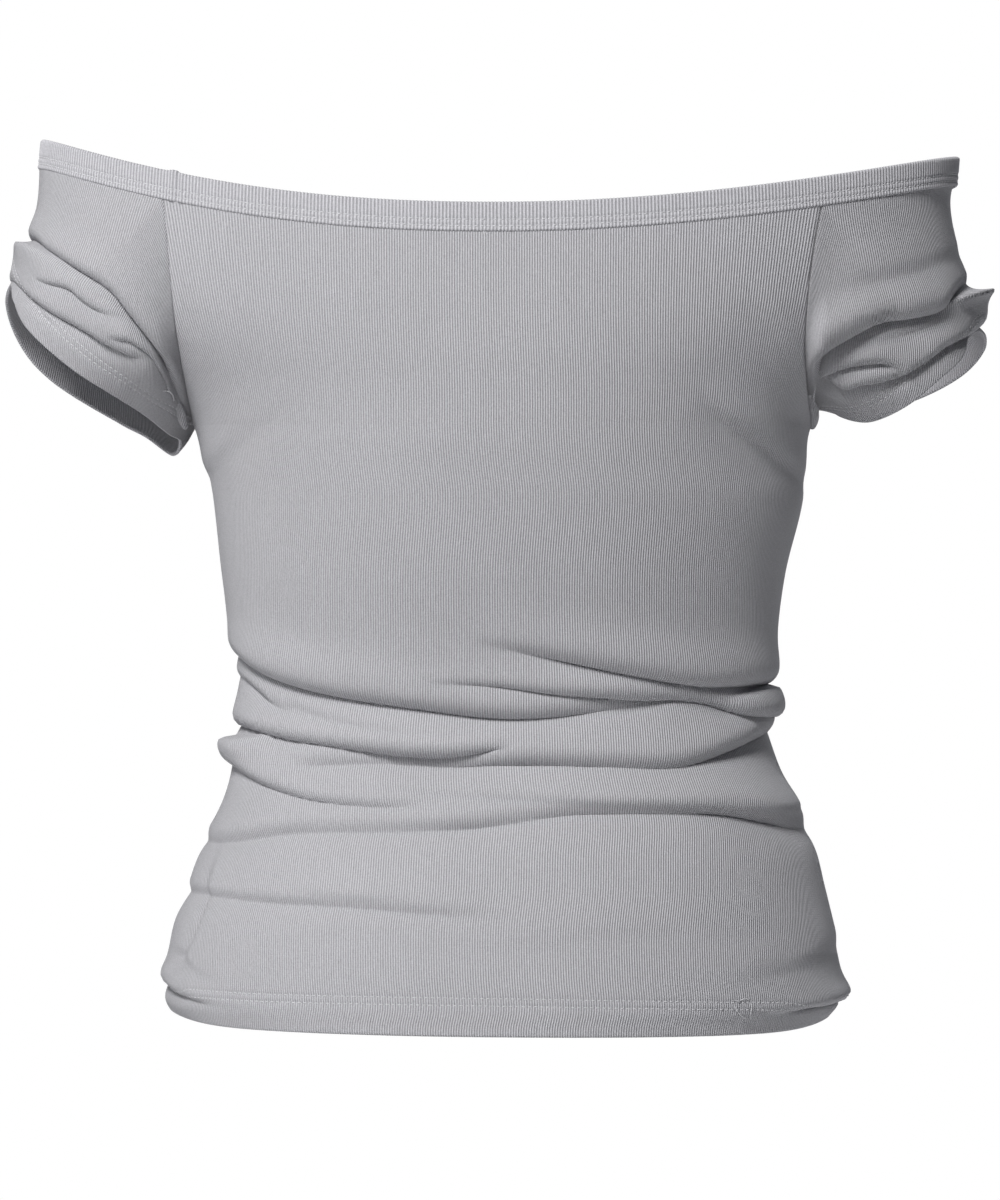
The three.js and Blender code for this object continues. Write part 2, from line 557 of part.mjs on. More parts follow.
// A sleeve is a tube from an upper loop to its slanted hem. The loop starts at the underarm, climbs the
// armhole seam at the back, follows the neckband over the outside, and comes down the seam in front.
function sleevePanel(name, sleeve, material) {
  const { side } = sleeve;
  const [outX, outZ] = sleeve.ringOutward;
  const turnsBefore = sleeve.ring.map((row) => ({ ...row, turn: row.turn - 1 }));
  const turnsAfter = sleeve.ring.map((row) => ({ ...row, turn: row.turn + 1 }));
  const ringRows = [...turnsBefore, ...sleeve.ring, ...turnsAfter];
  const ringOut = curveThrough(ringRows, "turn", "out");
  const ringDrop = curveThrough(ringRows, "turn", "drop");
  const ringBack = curveThrough(ringRows, "turn", "back");
  const fold = makeFolds(sleeve.folds);
  const columns = 2 * armholeRows + sleeveArcColumns;

  const hemPoint = (turn) => {
    const out = ringOut(turn);
    const drop = ringDrop(turn);
    return new THREE.Vector3(
      sleeve.ringMiddle[0] + out * outX + side * drop * outZ,
      -ringBack(turn),
      sleeve.ringMiddle[1] + out * outZ - side * drop * outX,
    );
  };

  // Each half of the tube, behind or in front, is read by a climb that goes from the underarm up the seam and
  // on along the neckband to the outside
  const half = columns / 2;
  const seamPoint = (climb, isFront) => {
    const seam = seamPlace(side, readBetween(armholeShares, climb), isFront);
    return bodyCut(angleFrom(isFront, side * seam.angle), seam.height);
  };
  const seamNormal = (climb, isFront) => {
    const seam = seamPlace(side, readBetween(armholeShares, climb), isFront);
    return bodyNormal(angleFrom(isFront, side * seam.angle), seam.height);
  };
  const upperPoint = (climb, isFront) => {
    if (climb <= armholeRows) {
      const lower = seamPoint(Math.max(climb - climbProbe, 0), isFront);
      const upper = seamPoint(Math.min(climb + climbProbe, armholeRows), isFront);
      const away = upper.sub(lower).cross(seamNormal(climb, isFront)).normalize();
      const nearTop = Math.min(1, climb / standOffRows);
      const standOff = THREE.MathUtils.lerp(underarmStandOff, seamStandOff, nearTop);
      return seamPoint(climb, isFront).addScaledVector(away, side * (isFront ? -1 : 1) * standOff);
    }
    const f = (climb - armholeRows) / (half - armholeRows);
    const { top } = seamPlace(side, 1, isFront);
    const angle = angleFrom(isFront, side * THREE.MathUtils.lerp(top, Math.PI / 2, f));
    return bodyCut(angle, necklineHeight(angle) - seamGap);
  };
  const turnOf = (climb) => (climb <= armholeRows
    ? sleeve.turnAtSeamTop * (climb / armholeRows)
    : THREE.MathUtils.lerp(sleeve.turnAtSeamTop, 0.5, (climb - armholeRows) / (half - armholeRows)));
  const halfOf = (column) => {
    const place = THREE.MathUtils.euclideanModulo(column, columns);
    const isFront = place > half;
    return { isFront, climb: isFront ? columns - place : place };
  };

  const smooth = (column, row) => {
    const { isFront, climb } = halfOf(column);
    const top = upperPoint(climb, isFront);
    const hem = hemPoint(isFront ? 1 - turnOf(climb) : turnOf(climb));
    const length = top.distanceTo(hem);
    const hemPlaces = sleeveHemRows.map((depth) => depth * Math.min(1, length / fullHemLength));
    const plainRows = sleeveRows - hemPlaces.length + 1;
    const fromHem = row <= plainRows
      ? THREE.MathUtils.lerp(length, hemPlaces[0], row / plainRows)
      : readBetween(hemPlaces, row - plainRows);
    const share = 1 - fromHem / length;
    const point = top.clone().lerp(hem, share);
    const away = point.clone().sub(new THREE.Vector3(sleeve.armAxis, 0, point.z)).normalize();
    const roundness = sleeve.bulge * Math.sin(Math.PI * share) * Math.sin((Math.PI * climb) / half);
    return { point: point.addScaledVector(away, roundness), share, length };
  };

  const surface = (column, row) => {
    const { point, share, length } = smooth(column, row);
    const { point: next } = smooth(column + cellProbe, row);
    const { point: last } = smooth(column - cellProbe, row);
    const { point: above } = smooth(column, Math.max(row - cellProbe, 0));
    const { point: below } = smooth(column, Math.min(row + cellProbe, sleeveRows));
    const outward = next.sub(last).cross(above.sub(below)).multiplyScalar(side).normalize();
    const hold = holdFlat(share * length, sleeveSeamHold) * holdFlat(length, shortSleeveHold);
    const [out, up] = fold(point.x, point.z);
    point.addScaledVector(outward, out * hold);
    point.z += up * hold;
    return point;
  };
  const placed = (column, row) => surface(side > 0 ? column : columns - column, sleeveRows - row);
  const thickness = (column, row) => [
    clothThickness / 2,
    row < sleeveHemRows.length - 1 ? hemThickness - clothThickness / 2 : clothThickness / 2,
  ];
  const topNormal = (column, row) => {
    const { isFront, climb } = halfOf(side > 0 ? column : columns - column);
    return row === sleeveRows && climb <= armholeRows ? seamNormal(climb, isFront) : undefined;
  };
  const options = { closed: true, seamNormal: topNormal };
  return makeWall(name, columns, sleeveRows, placed, thickness, material, options);
}

// Soft matte jersey
const clothRoughness = 0.92;
const jerseyColor = 0xa4a4aa;
const neckbandColor = 0xa8a8ae;

function clothMaterial(color) {
  return new THREE.MeshStandardMaterial({ color, roughness: clothRoughness, metalness: 0 });
}

const top = new THREE.Group();
top.add(
  bodyPanel("back_panel", backColumns, false, clothMaterial(jerseyColor)),
  bodyPanel("front_panel", frontColumns, true, clothMaterial(jerseyColor)),
  sleevePanel("sleeve_left", leftSleeve, clothMaterial(jerseyColor)),
  sleevePanel("sleeve_right", rightSleeve, clothMaterial(jerseyColor)),
  bandPanel("neckband", clothMaterial(neckbandColor)),
);

export default top;
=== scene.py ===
# %% [markdown]
# # A rib jersey top that sits off the shoulders
#
# The real top is five cut pieces of fine rib jersey, a back, a front, two sleeves and a folded neckband, held
# together by a few rows of sewing. The imported model already has each of them as a solid wall in the right
# place. This lesson puts real cloth in their stead: thin, creased where it has slid together at the waist,
# ribbed, and stitched. First the imported model is loaded.

# %% Load the imported model
import math

import bpy
import numpy as np
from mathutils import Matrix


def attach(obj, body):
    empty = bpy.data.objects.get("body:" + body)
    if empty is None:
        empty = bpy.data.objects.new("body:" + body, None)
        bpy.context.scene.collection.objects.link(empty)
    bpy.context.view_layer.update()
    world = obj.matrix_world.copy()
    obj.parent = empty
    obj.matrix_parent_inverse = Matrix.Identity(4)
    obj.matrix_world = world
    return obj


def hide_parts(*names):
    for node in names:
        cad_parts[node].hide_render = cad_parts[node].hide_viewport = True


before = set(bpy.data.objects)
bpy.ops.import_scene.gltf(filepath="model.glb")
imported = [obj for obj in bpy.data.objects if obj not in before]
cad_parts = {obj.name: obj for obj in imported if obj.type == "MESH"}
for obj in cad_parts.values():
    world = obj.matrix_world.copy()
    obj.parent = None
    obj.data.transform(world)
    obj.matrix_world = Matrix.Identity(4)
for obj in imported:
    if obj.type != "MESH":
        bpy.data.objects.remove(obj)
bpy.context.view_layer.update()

MM = 0.001
print("nodes:", ", ".join(sorted(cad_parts)))

# %% [markdown]
# The camera comes first, because every later choice is judged through it. It stands 3 m behind the top, level
# with its middle, so the lines of the body stay almost parallel. A long lens is worked out from the height of
# the view instead of being guessed. With an upright picture Blender's sensor width is the long side.

# %% Camera
VIEW_DISTANCE = 3.0
VIEW_HEIGHT = 0.552
SENSOR = 36.0

camera_data = bpy.data.cameras.new("camera")
camera_data.sensor_width = SENSOR
camera_data.lens = SENSOR * VIEW_DISTANCE / VIEW_HEIGHT
camera = bpy.data.objects.new("camera", camera_data)
camera.location = (-0.0009, -VIEW_DISTANCE, -0.1978)
camera.rotation_euler = (math.pi / 2, 0, 0)
bpy.context.scene.collection.objects.link(camera)
bpy.context.scene.camera = camera
bpy.context.scene.view_settings.view_transform = "Standard"
print("lens", round(camera_data.lens, 1), "mm")

# %% [markdown]
# Shader maths is easier to read as a formula than as a string of nodes. This small class wraps one socket, so
# that Python's own plus, minus and times add the Math nodes. Everything that isn't arithmetic goes through
# one method, which takes the node's type, its settings and what its sockets hold.


# %% A socket that can be calculated with
class Wire:
    def __init__(self, tree, socket=None):
        self.tree = tree
        self.socket = socket

    def node(self, kind, settings=(), inputs=(), output=0):
        made = self.tree.nodes.new("ShaderNode" + kind)
        for name, value in dict(settings).items():
            setattr(made, name, value)
        for name, value in dict(inputs).items():
            if isinstance(value, Wire):
                self.tree.links.new(value.socket, made.inputs[name])
            else:
                made.inputs[name].default_value = value
        return Wire(self.tree, made.outputs[output])

    def math(self, operation, *others):
        return self.node("Math", {"operation": operation}, enumerate((self, *others)))

    def __add__(self, other):
        return self.math("ADD", other)

    def __sub__(self, other):
        return self.math("SUBTRACT", other)

    def __rsub__(self, other):
        return self.node("Math", {"operation": "SUBTRACT"}, {0: other, 1: self})

    def __mul__(self, other):
        return self.math("MULTIPLY", other)

    __radd__, __rmul__ = __add__, __mul__


# %% [markdown]
# A large lamp at the upper left behind the top gives most of the light. A weaker one fills the left side, and
# a third lights the front, which the camera doesn't see. The surroundings add a little cool light to what
# faces away. They are seen brighter than they light the cloth, so the backdrop stays white and the folds keep
# their shade.

# %% Light
AMBIENT = 0.065
AMBIENT_COLOR = (0.86, 0.9, 1.0, 1.0)


def make_world():
    world = bpy.data.worlds.new("pale surroundings")
    world.use_nodes = True
    tree = world.node_tree
    tree.nodes.clear()
    wire = Wire(tree)
    lights = wire.node("Background", inputs={"Color": AMBIENT_COLOR, "Strength": AMBIENT})
    shows = wire.node("Background", inputs={"Color": (1, 1, 1, 1), "Strength": 1.0})
    seen = wire.node("LightPath")
    mixed = wire.node("MixShader", inputs={0: seen, 1: lights, 2: shows})
    output = tree.nodes.new("ShaderNodeOutputWorld")
    tree.links.new(mixed.socket, output.inputs["Surface"])
    bpy.context.scene.world = world


def make_light(name, place, aim, size, power, color):
    light = bpy.data.lights.new(name, "AREA")
    light.shape = "DISK"
    light.size = size
    light.energy = power
    light.color = color
    lamp = bpy.data.objects.new(name, light)
    lamp.location = place
    way = np.array(aim) - np.array(place)
    level = math.hypot(way[0], way[1])
    lamp.rotation_euler = (math.pi / 2 + math.atan2(way[2], level), 0, math.atan2(-way[0], way[1]))
    bpy.context.scene.collection.objects.link(lamp)


make_world()
MIDDLE = (0, 0, -0.2)
make_light("key from the upper left", (-0.95, -2.15, 1.95), MIDDLE, 1.0, 124, (1.0, 0.995, 0.985))
make_light("fill from the left", (-2.3, -1.1, 0.5), MIDDLE, 1.6, 12, (1.0, 1.0, 1.0))
make_light("soft light on the front", (0.9, 2.3, 0.7), MIDDLE, 1.6, 26, (0.96, 0.98, 1.0))

# %% [markdown]
# The body's shape comes from level cuts, as a dress form is measured: how far each cut reaches to the left,
# the right, the back and the front. A smooth curve runs through the cuts, so the same few numbers give a
# point at any height. The numbers are those of the solid model, in millimetres.


# %% Level cuts and seams
def columns(names, *rows):
    return dict(zip(names.split(), np.array(rows, float).T))


def curve(keys, values):
    order = np.argsort(keys)
    k, v = np.asarray(keys)[order], np.asarray(values)[order]
    before, after = np.maximum(np.arange(len(k)) - 1, 0), np.minimum(np.arange(len(k)) + 1, len(k) - 1)
    slope = (v[after] - v[before]) / (k[after] - k[before])

    def read(at):
        i = np.clip(np.searchsorted(k, at, "right") - 1, 0, len(k) - 2)
        span = k[i + 1] - k[i]
        f = np.clip((at - k[i]) / span, 0, 1)
        ends = (2 * f**3 - 3 * f**2 + 1) * v[i] + (3 * f**2 - 2 * f**3) * v[i + 1]
        return ends + span * ((f**3 - 2 * f**2 + f) * slope[i] + (f**3 - f**2) * slope[i + 1])

    return read


CUTS = columns(
    "z left right back front",
    (0, -212, 209, 93, 84),
    (-20, -209, 206, 95, 88),
    (-40, -202, 199, 97, 94),
    (-60, -190, 187, 98.5, 100),
    (-75, -177, 174.5, 99, 104),
    (-88, -163.5, 162, 99, 106.5),
    (-98, -153.8, 153.3, 98.5, 108),
    (-108, -146.3, 146.4, 98, 109.5),
    (-118, -141, 141.5, 97.5, 110),
    (-127, -138, 139.2, 97, 110),
    (-136, -135.8, 138.4, 96, 110),
    (-152, -132.3, 137.9, 94, 109),
    (-185, -128.3, 129.8, 88, 103),
    (-218, -124, 125.5, 80, 95),
    (-250, -122, 123.5, 74, 87),
    (-276, -125, 127.5, 79, 84),
    (-296, -129, 136, 86, 86),
    (-312, -138.5, 143.5, 92, 88),
    (-328, -143.5, 147.5, 97, 90.5),
    (-345, -151, 151.5, 102, 93),
    (-365, -154, 155, 106, 96),
    (-380, -154.5, 157.5, 107.5, 97),
    (-388, -150, 150, 107.5, 97),
    (-394, -146, 146, 107.5, 97),
)
ARMHOLES = columns(
    "z left right",
    (-8, -153, 146),
    (-35, -150.5, 140.5),
    (-60, -148.5, 137.5),
    (-85, -146, 136.5),
    (-103, -143.3, 138.6),
    (-118, -141, 141.5),
)
CUT = {side: curve(CUTS["z"], CUTS[side]) for side in ("left", "right", "back", "front")}
ARMHOLE = {side: curve(ARMHOLES["z"], ARMHOLES[side]) for side in ("left", "right")}
ROUNDNESS = 0.92
UNDERARM = -118.0
NECK_BACK, NECK_FRONT, NECK_LEFT, NECK_RIGHT = -33.8, -42.0, 0.0, -8.0
NECK_SWEEP_LEFT, NECK_SWEEP_RIGHT = 2.15, 1.8
HEM_MIDDLE, HEM_SIDE, HEM_SWEEP, HEM_TILT = -391.0, -386.5, 12, 1.5
HEM_DEPTH = 14.0


def ease(value, low, high):
    t = np.clip((value - low) / (high - low), 0, 1)
    return t * t * (3 - 2 * t)


def unit(vectors):
    return vectors / np.maximum(np.linalg.norm(vectors, axis=-1, keepdims=True), 1e-9)


def lengths(points, axis):
    steps = np.linalg.norm(np.diff(points, axis=axis), axis=-1)
    start = np.zeros_like(np.take(steps, [0], axis=axis))
    return np.concatenate([start, np.cumsum(steps, axis=axis)], axis=axis)


def middle_and_half(z):
    left, right = CUT["left"](z), CUT["right"](z)
    return (left + right) / 2, (right - left) / 2


def body_point(angle, z):
    middle, half = middle_and_half(z)
    across, through = np.sin(angle), np.cos(angle)
    x = middle + half * np.sign(across) * np.abs(across) ** ROUNDNESS
    y = np.where(through > 0, -CUT["back"](z), CUT["front"](z)) * np.abs(through) ** ROUNDNESS
    return np.stack(np.broadcast_arrays(x, y, z), -1)


def outward(angle, z, probe=0.01):
    step = body_point(angle + probe, z) - body_point(angle - probe, z)
    return unit(np.stack([step[..., 1], -step[..., 0], 0 * step[..., 0]], -1))


def neckline(angle):
    across = np.sin(angle)
    middle = np.where(np.cos(angle) > 0, NECK_BACK, NECK_FRONT)
    left = middle + (NECK_LEFT - middle) * np.abs(across) ** NECK_SWEEP_LEFT
    right = middle + (NECK_RIGHT - middle) * np.abs(across) ** NECK_SWEEP_RIGHT
    return np.where(across < 0, left, right)


def hem_line(angle):
    across = np.sin(angle)
    return HEM_MIDDLE - HEM_TILT * across + (HEM_SIDE - HEM_MIDDLE) * np.abs(across) ** HEM_SWEEP


def round_angle(front, turn):
    angle = math.pi - turn if front else turn
    return np.where(angle > math.pi, angle - 2 * math.pi, angle)


def seam_angle(side, z):
    middle, half = middle_and_half(z)
    seam = ARMHOLE["left"](z) if side < 0 else ARMHOLE["right"](z)
    across = np.clip(np.abs(seam - middle) / half, 0, 1)
    return np.where(z <= UNDERARM, math.pi / 2, np.arcsin(across ** (1 / ROUNDNESS)))


def seam_place(side, share, front, lift):
    top = math.pi / 4
    for _ in range(4):
        top = float(seam_angle(side, neckline(round_angle(front, side * top)) + lift))
    z = UNDERARM + (neckline(round_angle(front, side * top)) + lift - UNDERARM) * share
    return z, seam_angle(side, z), top


WAIST = -250.0
waist_loop = lengths(body_point(np.linspace(-math.pi, math.pi, 181), WAIST)[None], 1)[0]
print("round the waist:", round(float(waist_loop[-1])), "mm")

# %% [markdown]
# Folds are given as paths over the cloth. Above its path each crease swells into a roll, and below
# it the cloth drops into a trough that fills up again slowly, because the cloth above has slid down and hangs
# over. The sag lets the roll lean over the crease, which a plain height map can't do. Every row is different
# in length, depth and spacing, as the real folds are.


# %% How a fold bends the cloth
def trace(points, count=7):
    p = np.vstack([2 * points[0] - points[1], points, 2 * points[-1] - points[-2]])
    t = (np.arange(count) / count)[:, None]
    runs = [
        0.5 * (2 * b + (c - a) * t + (2 * a - 5 * b + 4 * c - d) * t**2 + (3 * b - a - 3 * c + d) * t**3)
        for a, b, c, d in zip(p, p[1:], p[2:], p[3:])
    ]
    return np.vstack([*runs, points[-1:]])


class Fold:
    def __init__(self, name, shape, path, lip=(0, 6), spread=None, corner=None):
        self.name = name
        self.depth, self.crest, self.rise, self.recover, self.sag = shape
        self.lip, self.reach = lip
        self.spread = spread or self.rise + 4
        self.corner = corner
        self.steps = trace(np.array(path, float))

    def nearest(self, x, z):
        best, above, strength = np.full(x.shape, np.inf), np.ones(x.shape), np.zeros(x.shape)
        for (x0, z0, s0), (x1, z1, s1) in zip(self.steps, self.steps[1:]):
            dx, dz = x1 - x0, z1 - z0
            f = np.clip(((x - x0) * dx + (z - z0) * dz) / (dx * dx + dz * dz), 0, 1)
            off_x, off_z = x - x0 - f * dx, z - z0 - f * dz
            distance = np.hypot(off_x, off_z)
            nearer = distance < best
            best = np.where(nearer, distance, best)
            above = np.where(nearer, np.where(dx * off_z - dz * off_x >= 0, 1.0, -1.0), above)
            strength = np.where(nearer, s0 + f * (s1 - s0), strength)
        return best * above, strength

    def bend(self, x, z):
        distance, strength = self.nearest(x, z)
        f = np.clip(distance / self.rise, 0, 1)
        rising = -self.depth + (self.crest + self.depth) * f * f * (3 - 2 * f)
        past = self.crest * np.exp(-(((distance - self.rise) / self.spread) ** 2))
        trough = -self.depth * np.exp(np.minimum(distance, 0) / self.recover)
        out = np.where(distance < 0, trough, np.where(distance < self.rise, rising, past))
        if self.lip:
            past_lip = -distance - self.reach
            width = np.where(past_lip < 0, 0.7, 2) * self.reach
            out = out + np.where(distance < 0, self.lip * np.exp(-((past_lip / width) ** 2)), 0)
        if self.corner:
            height, above, below = self.corner
            out = out + height * np.exp(-np.abs(distance) / np.where(distance > 0, above, below))
        up = np.where((distance > 0) & (distance < self.rise), -self.sag * np.sin(math.pi * f), 0)
        return strength * out, strength * up


def bend_all(folds, x, z):
    bends = [fold.bend(x, z) for fold in folds]
    return sum(out for out, _ in bends), sum(up for _, up in bends)


# %% [markdown]
# These are the folds of the body. A shape is depth, crest, rise, recover and sag, and a path is a list of
# points: across, height and strength. At the waist the back has a dozen creases that cross it in long arcs.
# The front doesn't show from here, so it gets a calmer set of the same kind that meets them at the sides.

# %% Folds of the back and the front
BACK_FOLDS = [
    Fold("high roll on the right", (4.8, 3.2, 7, 6, 3.0), [(-14, -217, 0), (22, -224, 0.6), (55, -230.6, 0.9),
         (88, -235.7, 1.1), (105, -236.3, 1.1), (122, -236, 0.9), (136, -235, 0.2)]),
    Fold("thin roll under it", (3.8, 2.0, 4, 6, 2.4), [(-38, -235.5, 0), (-4, -236.4, 0.5), (23, -239.5, 0.8),
         (55, -241.4, 1), (88, -243, 0.9), (111, -249, 1.2), (136, -252, 0.1)]),
    Fold("long crease", (5.0, 2.8, 7, 7, 3.0), [(-132, -217, 0.2), (-115, -228.5, 1), (-95, -236.2, 1.1),
         (-68, -242, 1), (-36, -246.7, 0.9), (-4, -250.3, 1), (23, -250.3, 0.8), (55, -246.8, 0.4),
         (76, -245, 0)]),
    Fold("short crease on the left", (2.6, 1.4, 4, 5, 1.2), [(-130, -228, 0.1), (-115, -238, 1),
         (-106, -245, 0.7), (-94, -251, 0)]),
    Fold("faint crease on the left", (1.5, 0.9, 5, 5, 0.2), [(-108, -241, 0), (-90, -249.3, 0.8),
         (-73, -254, 0.9), (-41, -259.3, 0.8), (-8, -260.1, 0)]),
    Fold("sharp overhang on the left", (5.6, 2.2, 3.6, 6, 3.6), [(-134, -250.5, 0.3), (-121, -254, 0.8),
         (-100, -258.9, 0.9), (-84, -260.9, 1), (-52, -264.3, 1.3), (-36, -265.5, 1.3),
         (-20, -265.9, 1), (6, -264, 0)]),
    Fold("waist crease", (4.0, 3.0, 8, 8, 1.8), [(-97, -275, 0), (-84, -273.5, 0.6), (-57, -272.4, 0.8),
         (-25, -273.5, 0.9), (6, -272.2, 1), (39, -273.1, 0.8), (72, -274.2, 0.8), (88, -272.2, 0.9),
         (111, -264.5, 1.2), (130, -256, 0.4), (138, -253, 0)]),
    Fold("low crease on the left", (3.0, 1.6, 5.5, 7, 1.1), [(-136, -268, 0.2), (-125, -273, 0.8),
         (-117, -278.4, 1), (-106, -283.3, 1), (-84, -289, 0.9), (-52, -291.4, 0.7), (-28, -290.5, 0)]),
    Fold("heavy hip roll", (4.0, 3.2, 8, 9, 2.4), [(-30, -303, 0), (1, -299.2, 0.4), (33, -294.6, 0.7),
         (77, -294.4, 0.8), (99, -294.7, 1), (116, -297.5, 1.2), (131, -302.5, 0.7), (142, -307, 0.15),
         (152, -311, 0)]),
    Fold("ridge over the hip roll", (0.5, 1.2, 3, 4, 0.3), [(-90, -278, 0), (-41, -284.5, 0.6),
         (23, -288.4, 0.9), (88, -290.5, 1), (134, -294, 0.6)]),
    Fold("hip crease on the left", (3.0, 2.2, 8, 9, 1.2), [(-148, -312, 0.1), (-135, -309.7, 0.7),
         (-122, -308.4, 1), (-94, -304, 0.9), (-62, -303, 0.8), (-20, -301.4, 0.7), (10, -298, 0)]),
    Fold("soft crease over the hem", (2.4, 1.4, 6.5, 11, 0.7), [(-156, -332, 0.7), (-138, -332.7, 0.8),
         (-105, -334.7, 0.9), (-67, -336.1, 0.9), (-31, -338.8, 0.7), (6, -341, 0)]),
    Fold("faint line over it", (0.6, 0.4, 3, 5, 0), [(-100, -328, 0), (-67, -331.3, 1), (-30, -332.2, 0)]),
    Fold("broad wave over the hem", (0.5, 0.5, 12, 14, 0), [(-120, -356, 0), (-70, -352, 1), (-10, -357, 0.6),
         (60, -351, 1), (120, -355, 0)]),
    Fold("hollow along the left hip", (4.6, 0, 5, 5, 0), [(-130, -306, 0), (-133.5, -316, 0.4),
         (-136, -326.6, 0.8), (-140.8, -342.7, 1), (-145.6, -356.5, 0.8), (-150.5, -368, 0)]),
    Fold("knob at the left side", (0, 7.2, 1.8, 3, 0), [(-106, -257, 0), (-115, -259.4, 0.6), (-121, -260, 1),
         (-140, -260.2, 1)], spread=9),
    Fold("knob at the right side", (0, 5.4, 2, 3, 0), [(140, -236, 1), (122, -236.6, 1), (112, -239, 0.6),
         (100, -242, 0)], spread=15),
    Fold("drag from the right underarm", (2.6, 2.0, 8, 11, 0), [(86, -108, 0), (102, -121, 0.8),
         (120, -133, 0.9), (140, -148, 0.1)]),
    Fold("soft drag on the right shoulder blade", (1.0, 0.9, 8, 12, 0), [(108, -62, 0), (119, -74.3, 1),
         (127.5, -85.2, 1), (138, -100, 0)]),
    Fold("drag from the left underarm", (0.8, 0.8, 9, 12, 0), [(-146, -150, 0.8), (-130, -140, 1),
         (-112, -124, 0.5), (-94, -112, 0)]),
    Fold("tuck at the left corner", (3.6, 1.8, 2.6, 5, 2.2), [(-162, -369, 1.2), (-154, -372, 1.1),
         (-148, -375.5, 0.9), (-136, -379.3, 0.35), (-124, -380.7, 0.15), (-112, -381, 0)]),
    Fold("line over the left corner", (0.9, 0.5, 3, 5, 0.2), [(-152, -357, 0), (-147.2, -359.9, 1),
         (-138.7, -365.8, 0.8), (-126, -371, 0)]),
    Fold("tuck at the right corner", (4.2, 1.4, 1.8, 6, 1.4), [(110, -384, 0), (124, -383.2, 0.4),
         (140, -381.8, 1.1), (151, -380.4, 1.6), (162, -379.5, 1.6)]),
    Fold("soft roll over the right corner", (1.0, 1.0, 9, 9, 0), [(96, -373, 0), (118, -369, 0.7),
         (138, -365, 1), (152, -359, 0.8), (160, -354, 0)]),
]
FRONT_FOLDS = [
    Fold("high roll", (2.2, 2, 5, 5, 1.4), [(-70, -226, 0), (-20, -229, 0.8), (40, -226, 1), (90, -231, 0.8),
         (132, -238, 0.6)]),
    Fold("left crease", (2.6, 1.8, 5, 6, 1.4), [(-132, -222, 0.8), (-96, -236, 1), (-40, -248, 1),
         (20, -250, 0.7), (60, -245, 0)]),
    Fold("waist crease", (2.6, 2.2, 5, 6, 1.6), [(-132, -262, 0.8), (-80, -270, 1), (-10, -266, 0.8),
         (50, -262, 1), (132, -258, 1)]),
    Fold("short crease", (1.4, 1, 4, 5, 0.6), [(10, -276, 0), (48, -274, 0.8), (84, -277, 1),
         (120, -284, 0)]),
    Fold("low crease", (2, 1.9, 6, 6, 1), [(-60, -292, 0), (0, -288, 0.9), (60, -284, 1), (132, -290, 0.9)]),
    Fold("hip crease", (1.6, 1.4, 7, 7, 0.6), [(-146, -306, 1), (-90, -309, 1), (-20, -313, 0.7),
         (40, -311, 0)]),
    Fold("drag from the right underarm", (1.4, 1.2, 9, 12, 0), [(84, -112, 0), (110, -126, 1),
         (146, -146, 0.8)]),
    Fold("drag from the left underarm", (1.4, 1.2, 9, 12, 0), [(-146, -146, 0.8), (-110, -128, 1),
         (-86, -112, 0)]),
]
SIDE_BLEND = math.radians(34)
deepest = max(BACK_FOLDS, key=lambda fold: fold.depth)
print(len(BACK_FOLDS), "folds behind,", len(FRONT_FOLDS), "in front, deepest:", deepest.name)

# %% [markdown]
# A panel of the body is a grid of points: rows go up from the hem, columns from seam to seam. Rows lie close
# together at the waist, where the creases are, and columns close together at the seams, where the cloth dips
# into the sewing. Above the underarm the rows end at the armhole instead of the side seam. The last rows
# run a little way up inside the neckband, as the sewn edge really does.

# %% Points of a body panel
NECK_TUCK = 1.5
ARMHOLE_HOLD = 16.0


def spaced(*spans):
    runs = [np.linspace(a, b, max(2, round(abs(b - a) / step) + 1))[:-1] for a, b, step in spans]
    return np.concatenate([*runs, [spans[-1][1]]])


PANEL_LEVELS = spaced(
    (HEM_MIDDLE, HEM_MIDDLE + 2, 0.7), (HEM_MIDDLE + 2, HEM_MIDDLE + 11, 1.6),
    (HEM_MIDDLE + 11, HEM_MIDDLE + 19, 0.6), (HEM_MIDDLE + 19, -345, 1.8), (-345, -208, 0.95),
    (-208, UNDERARM, 2.4),
)
PANEL_RISES = np.concatenate([0.94 * np.linspace(0, 1, 44)[1:] ** 1.5, np.linspace(0.94, 1, 9)[1:]])
SEAM_SHARES = np.array([0, 0.35, 0.8, 1.4, 2.3, 3.6]) / 165


def body_bend(front, angle, point):
    if not front:
        return bend_all(BACK_FOLDS, point[..., 0], point[..., 2])
    z = point[..., 2]
    edge = np.where(np.sin(angle) < 0, CUT["left"](z), CUT["right"](z))
    share = ease(np.arccos(np.clip(np.abs(np.sin(angle)), 0, 1)), 0, SIDE_BLEND)
    at_edge, in_front = bend_all(BACK_FOLDS, edge, z), bend_all(FRONT_FOLDS, point[..., 0], z)
    return tuple(a + (b - a) * share for a, b in zip(at_edge, in_front))


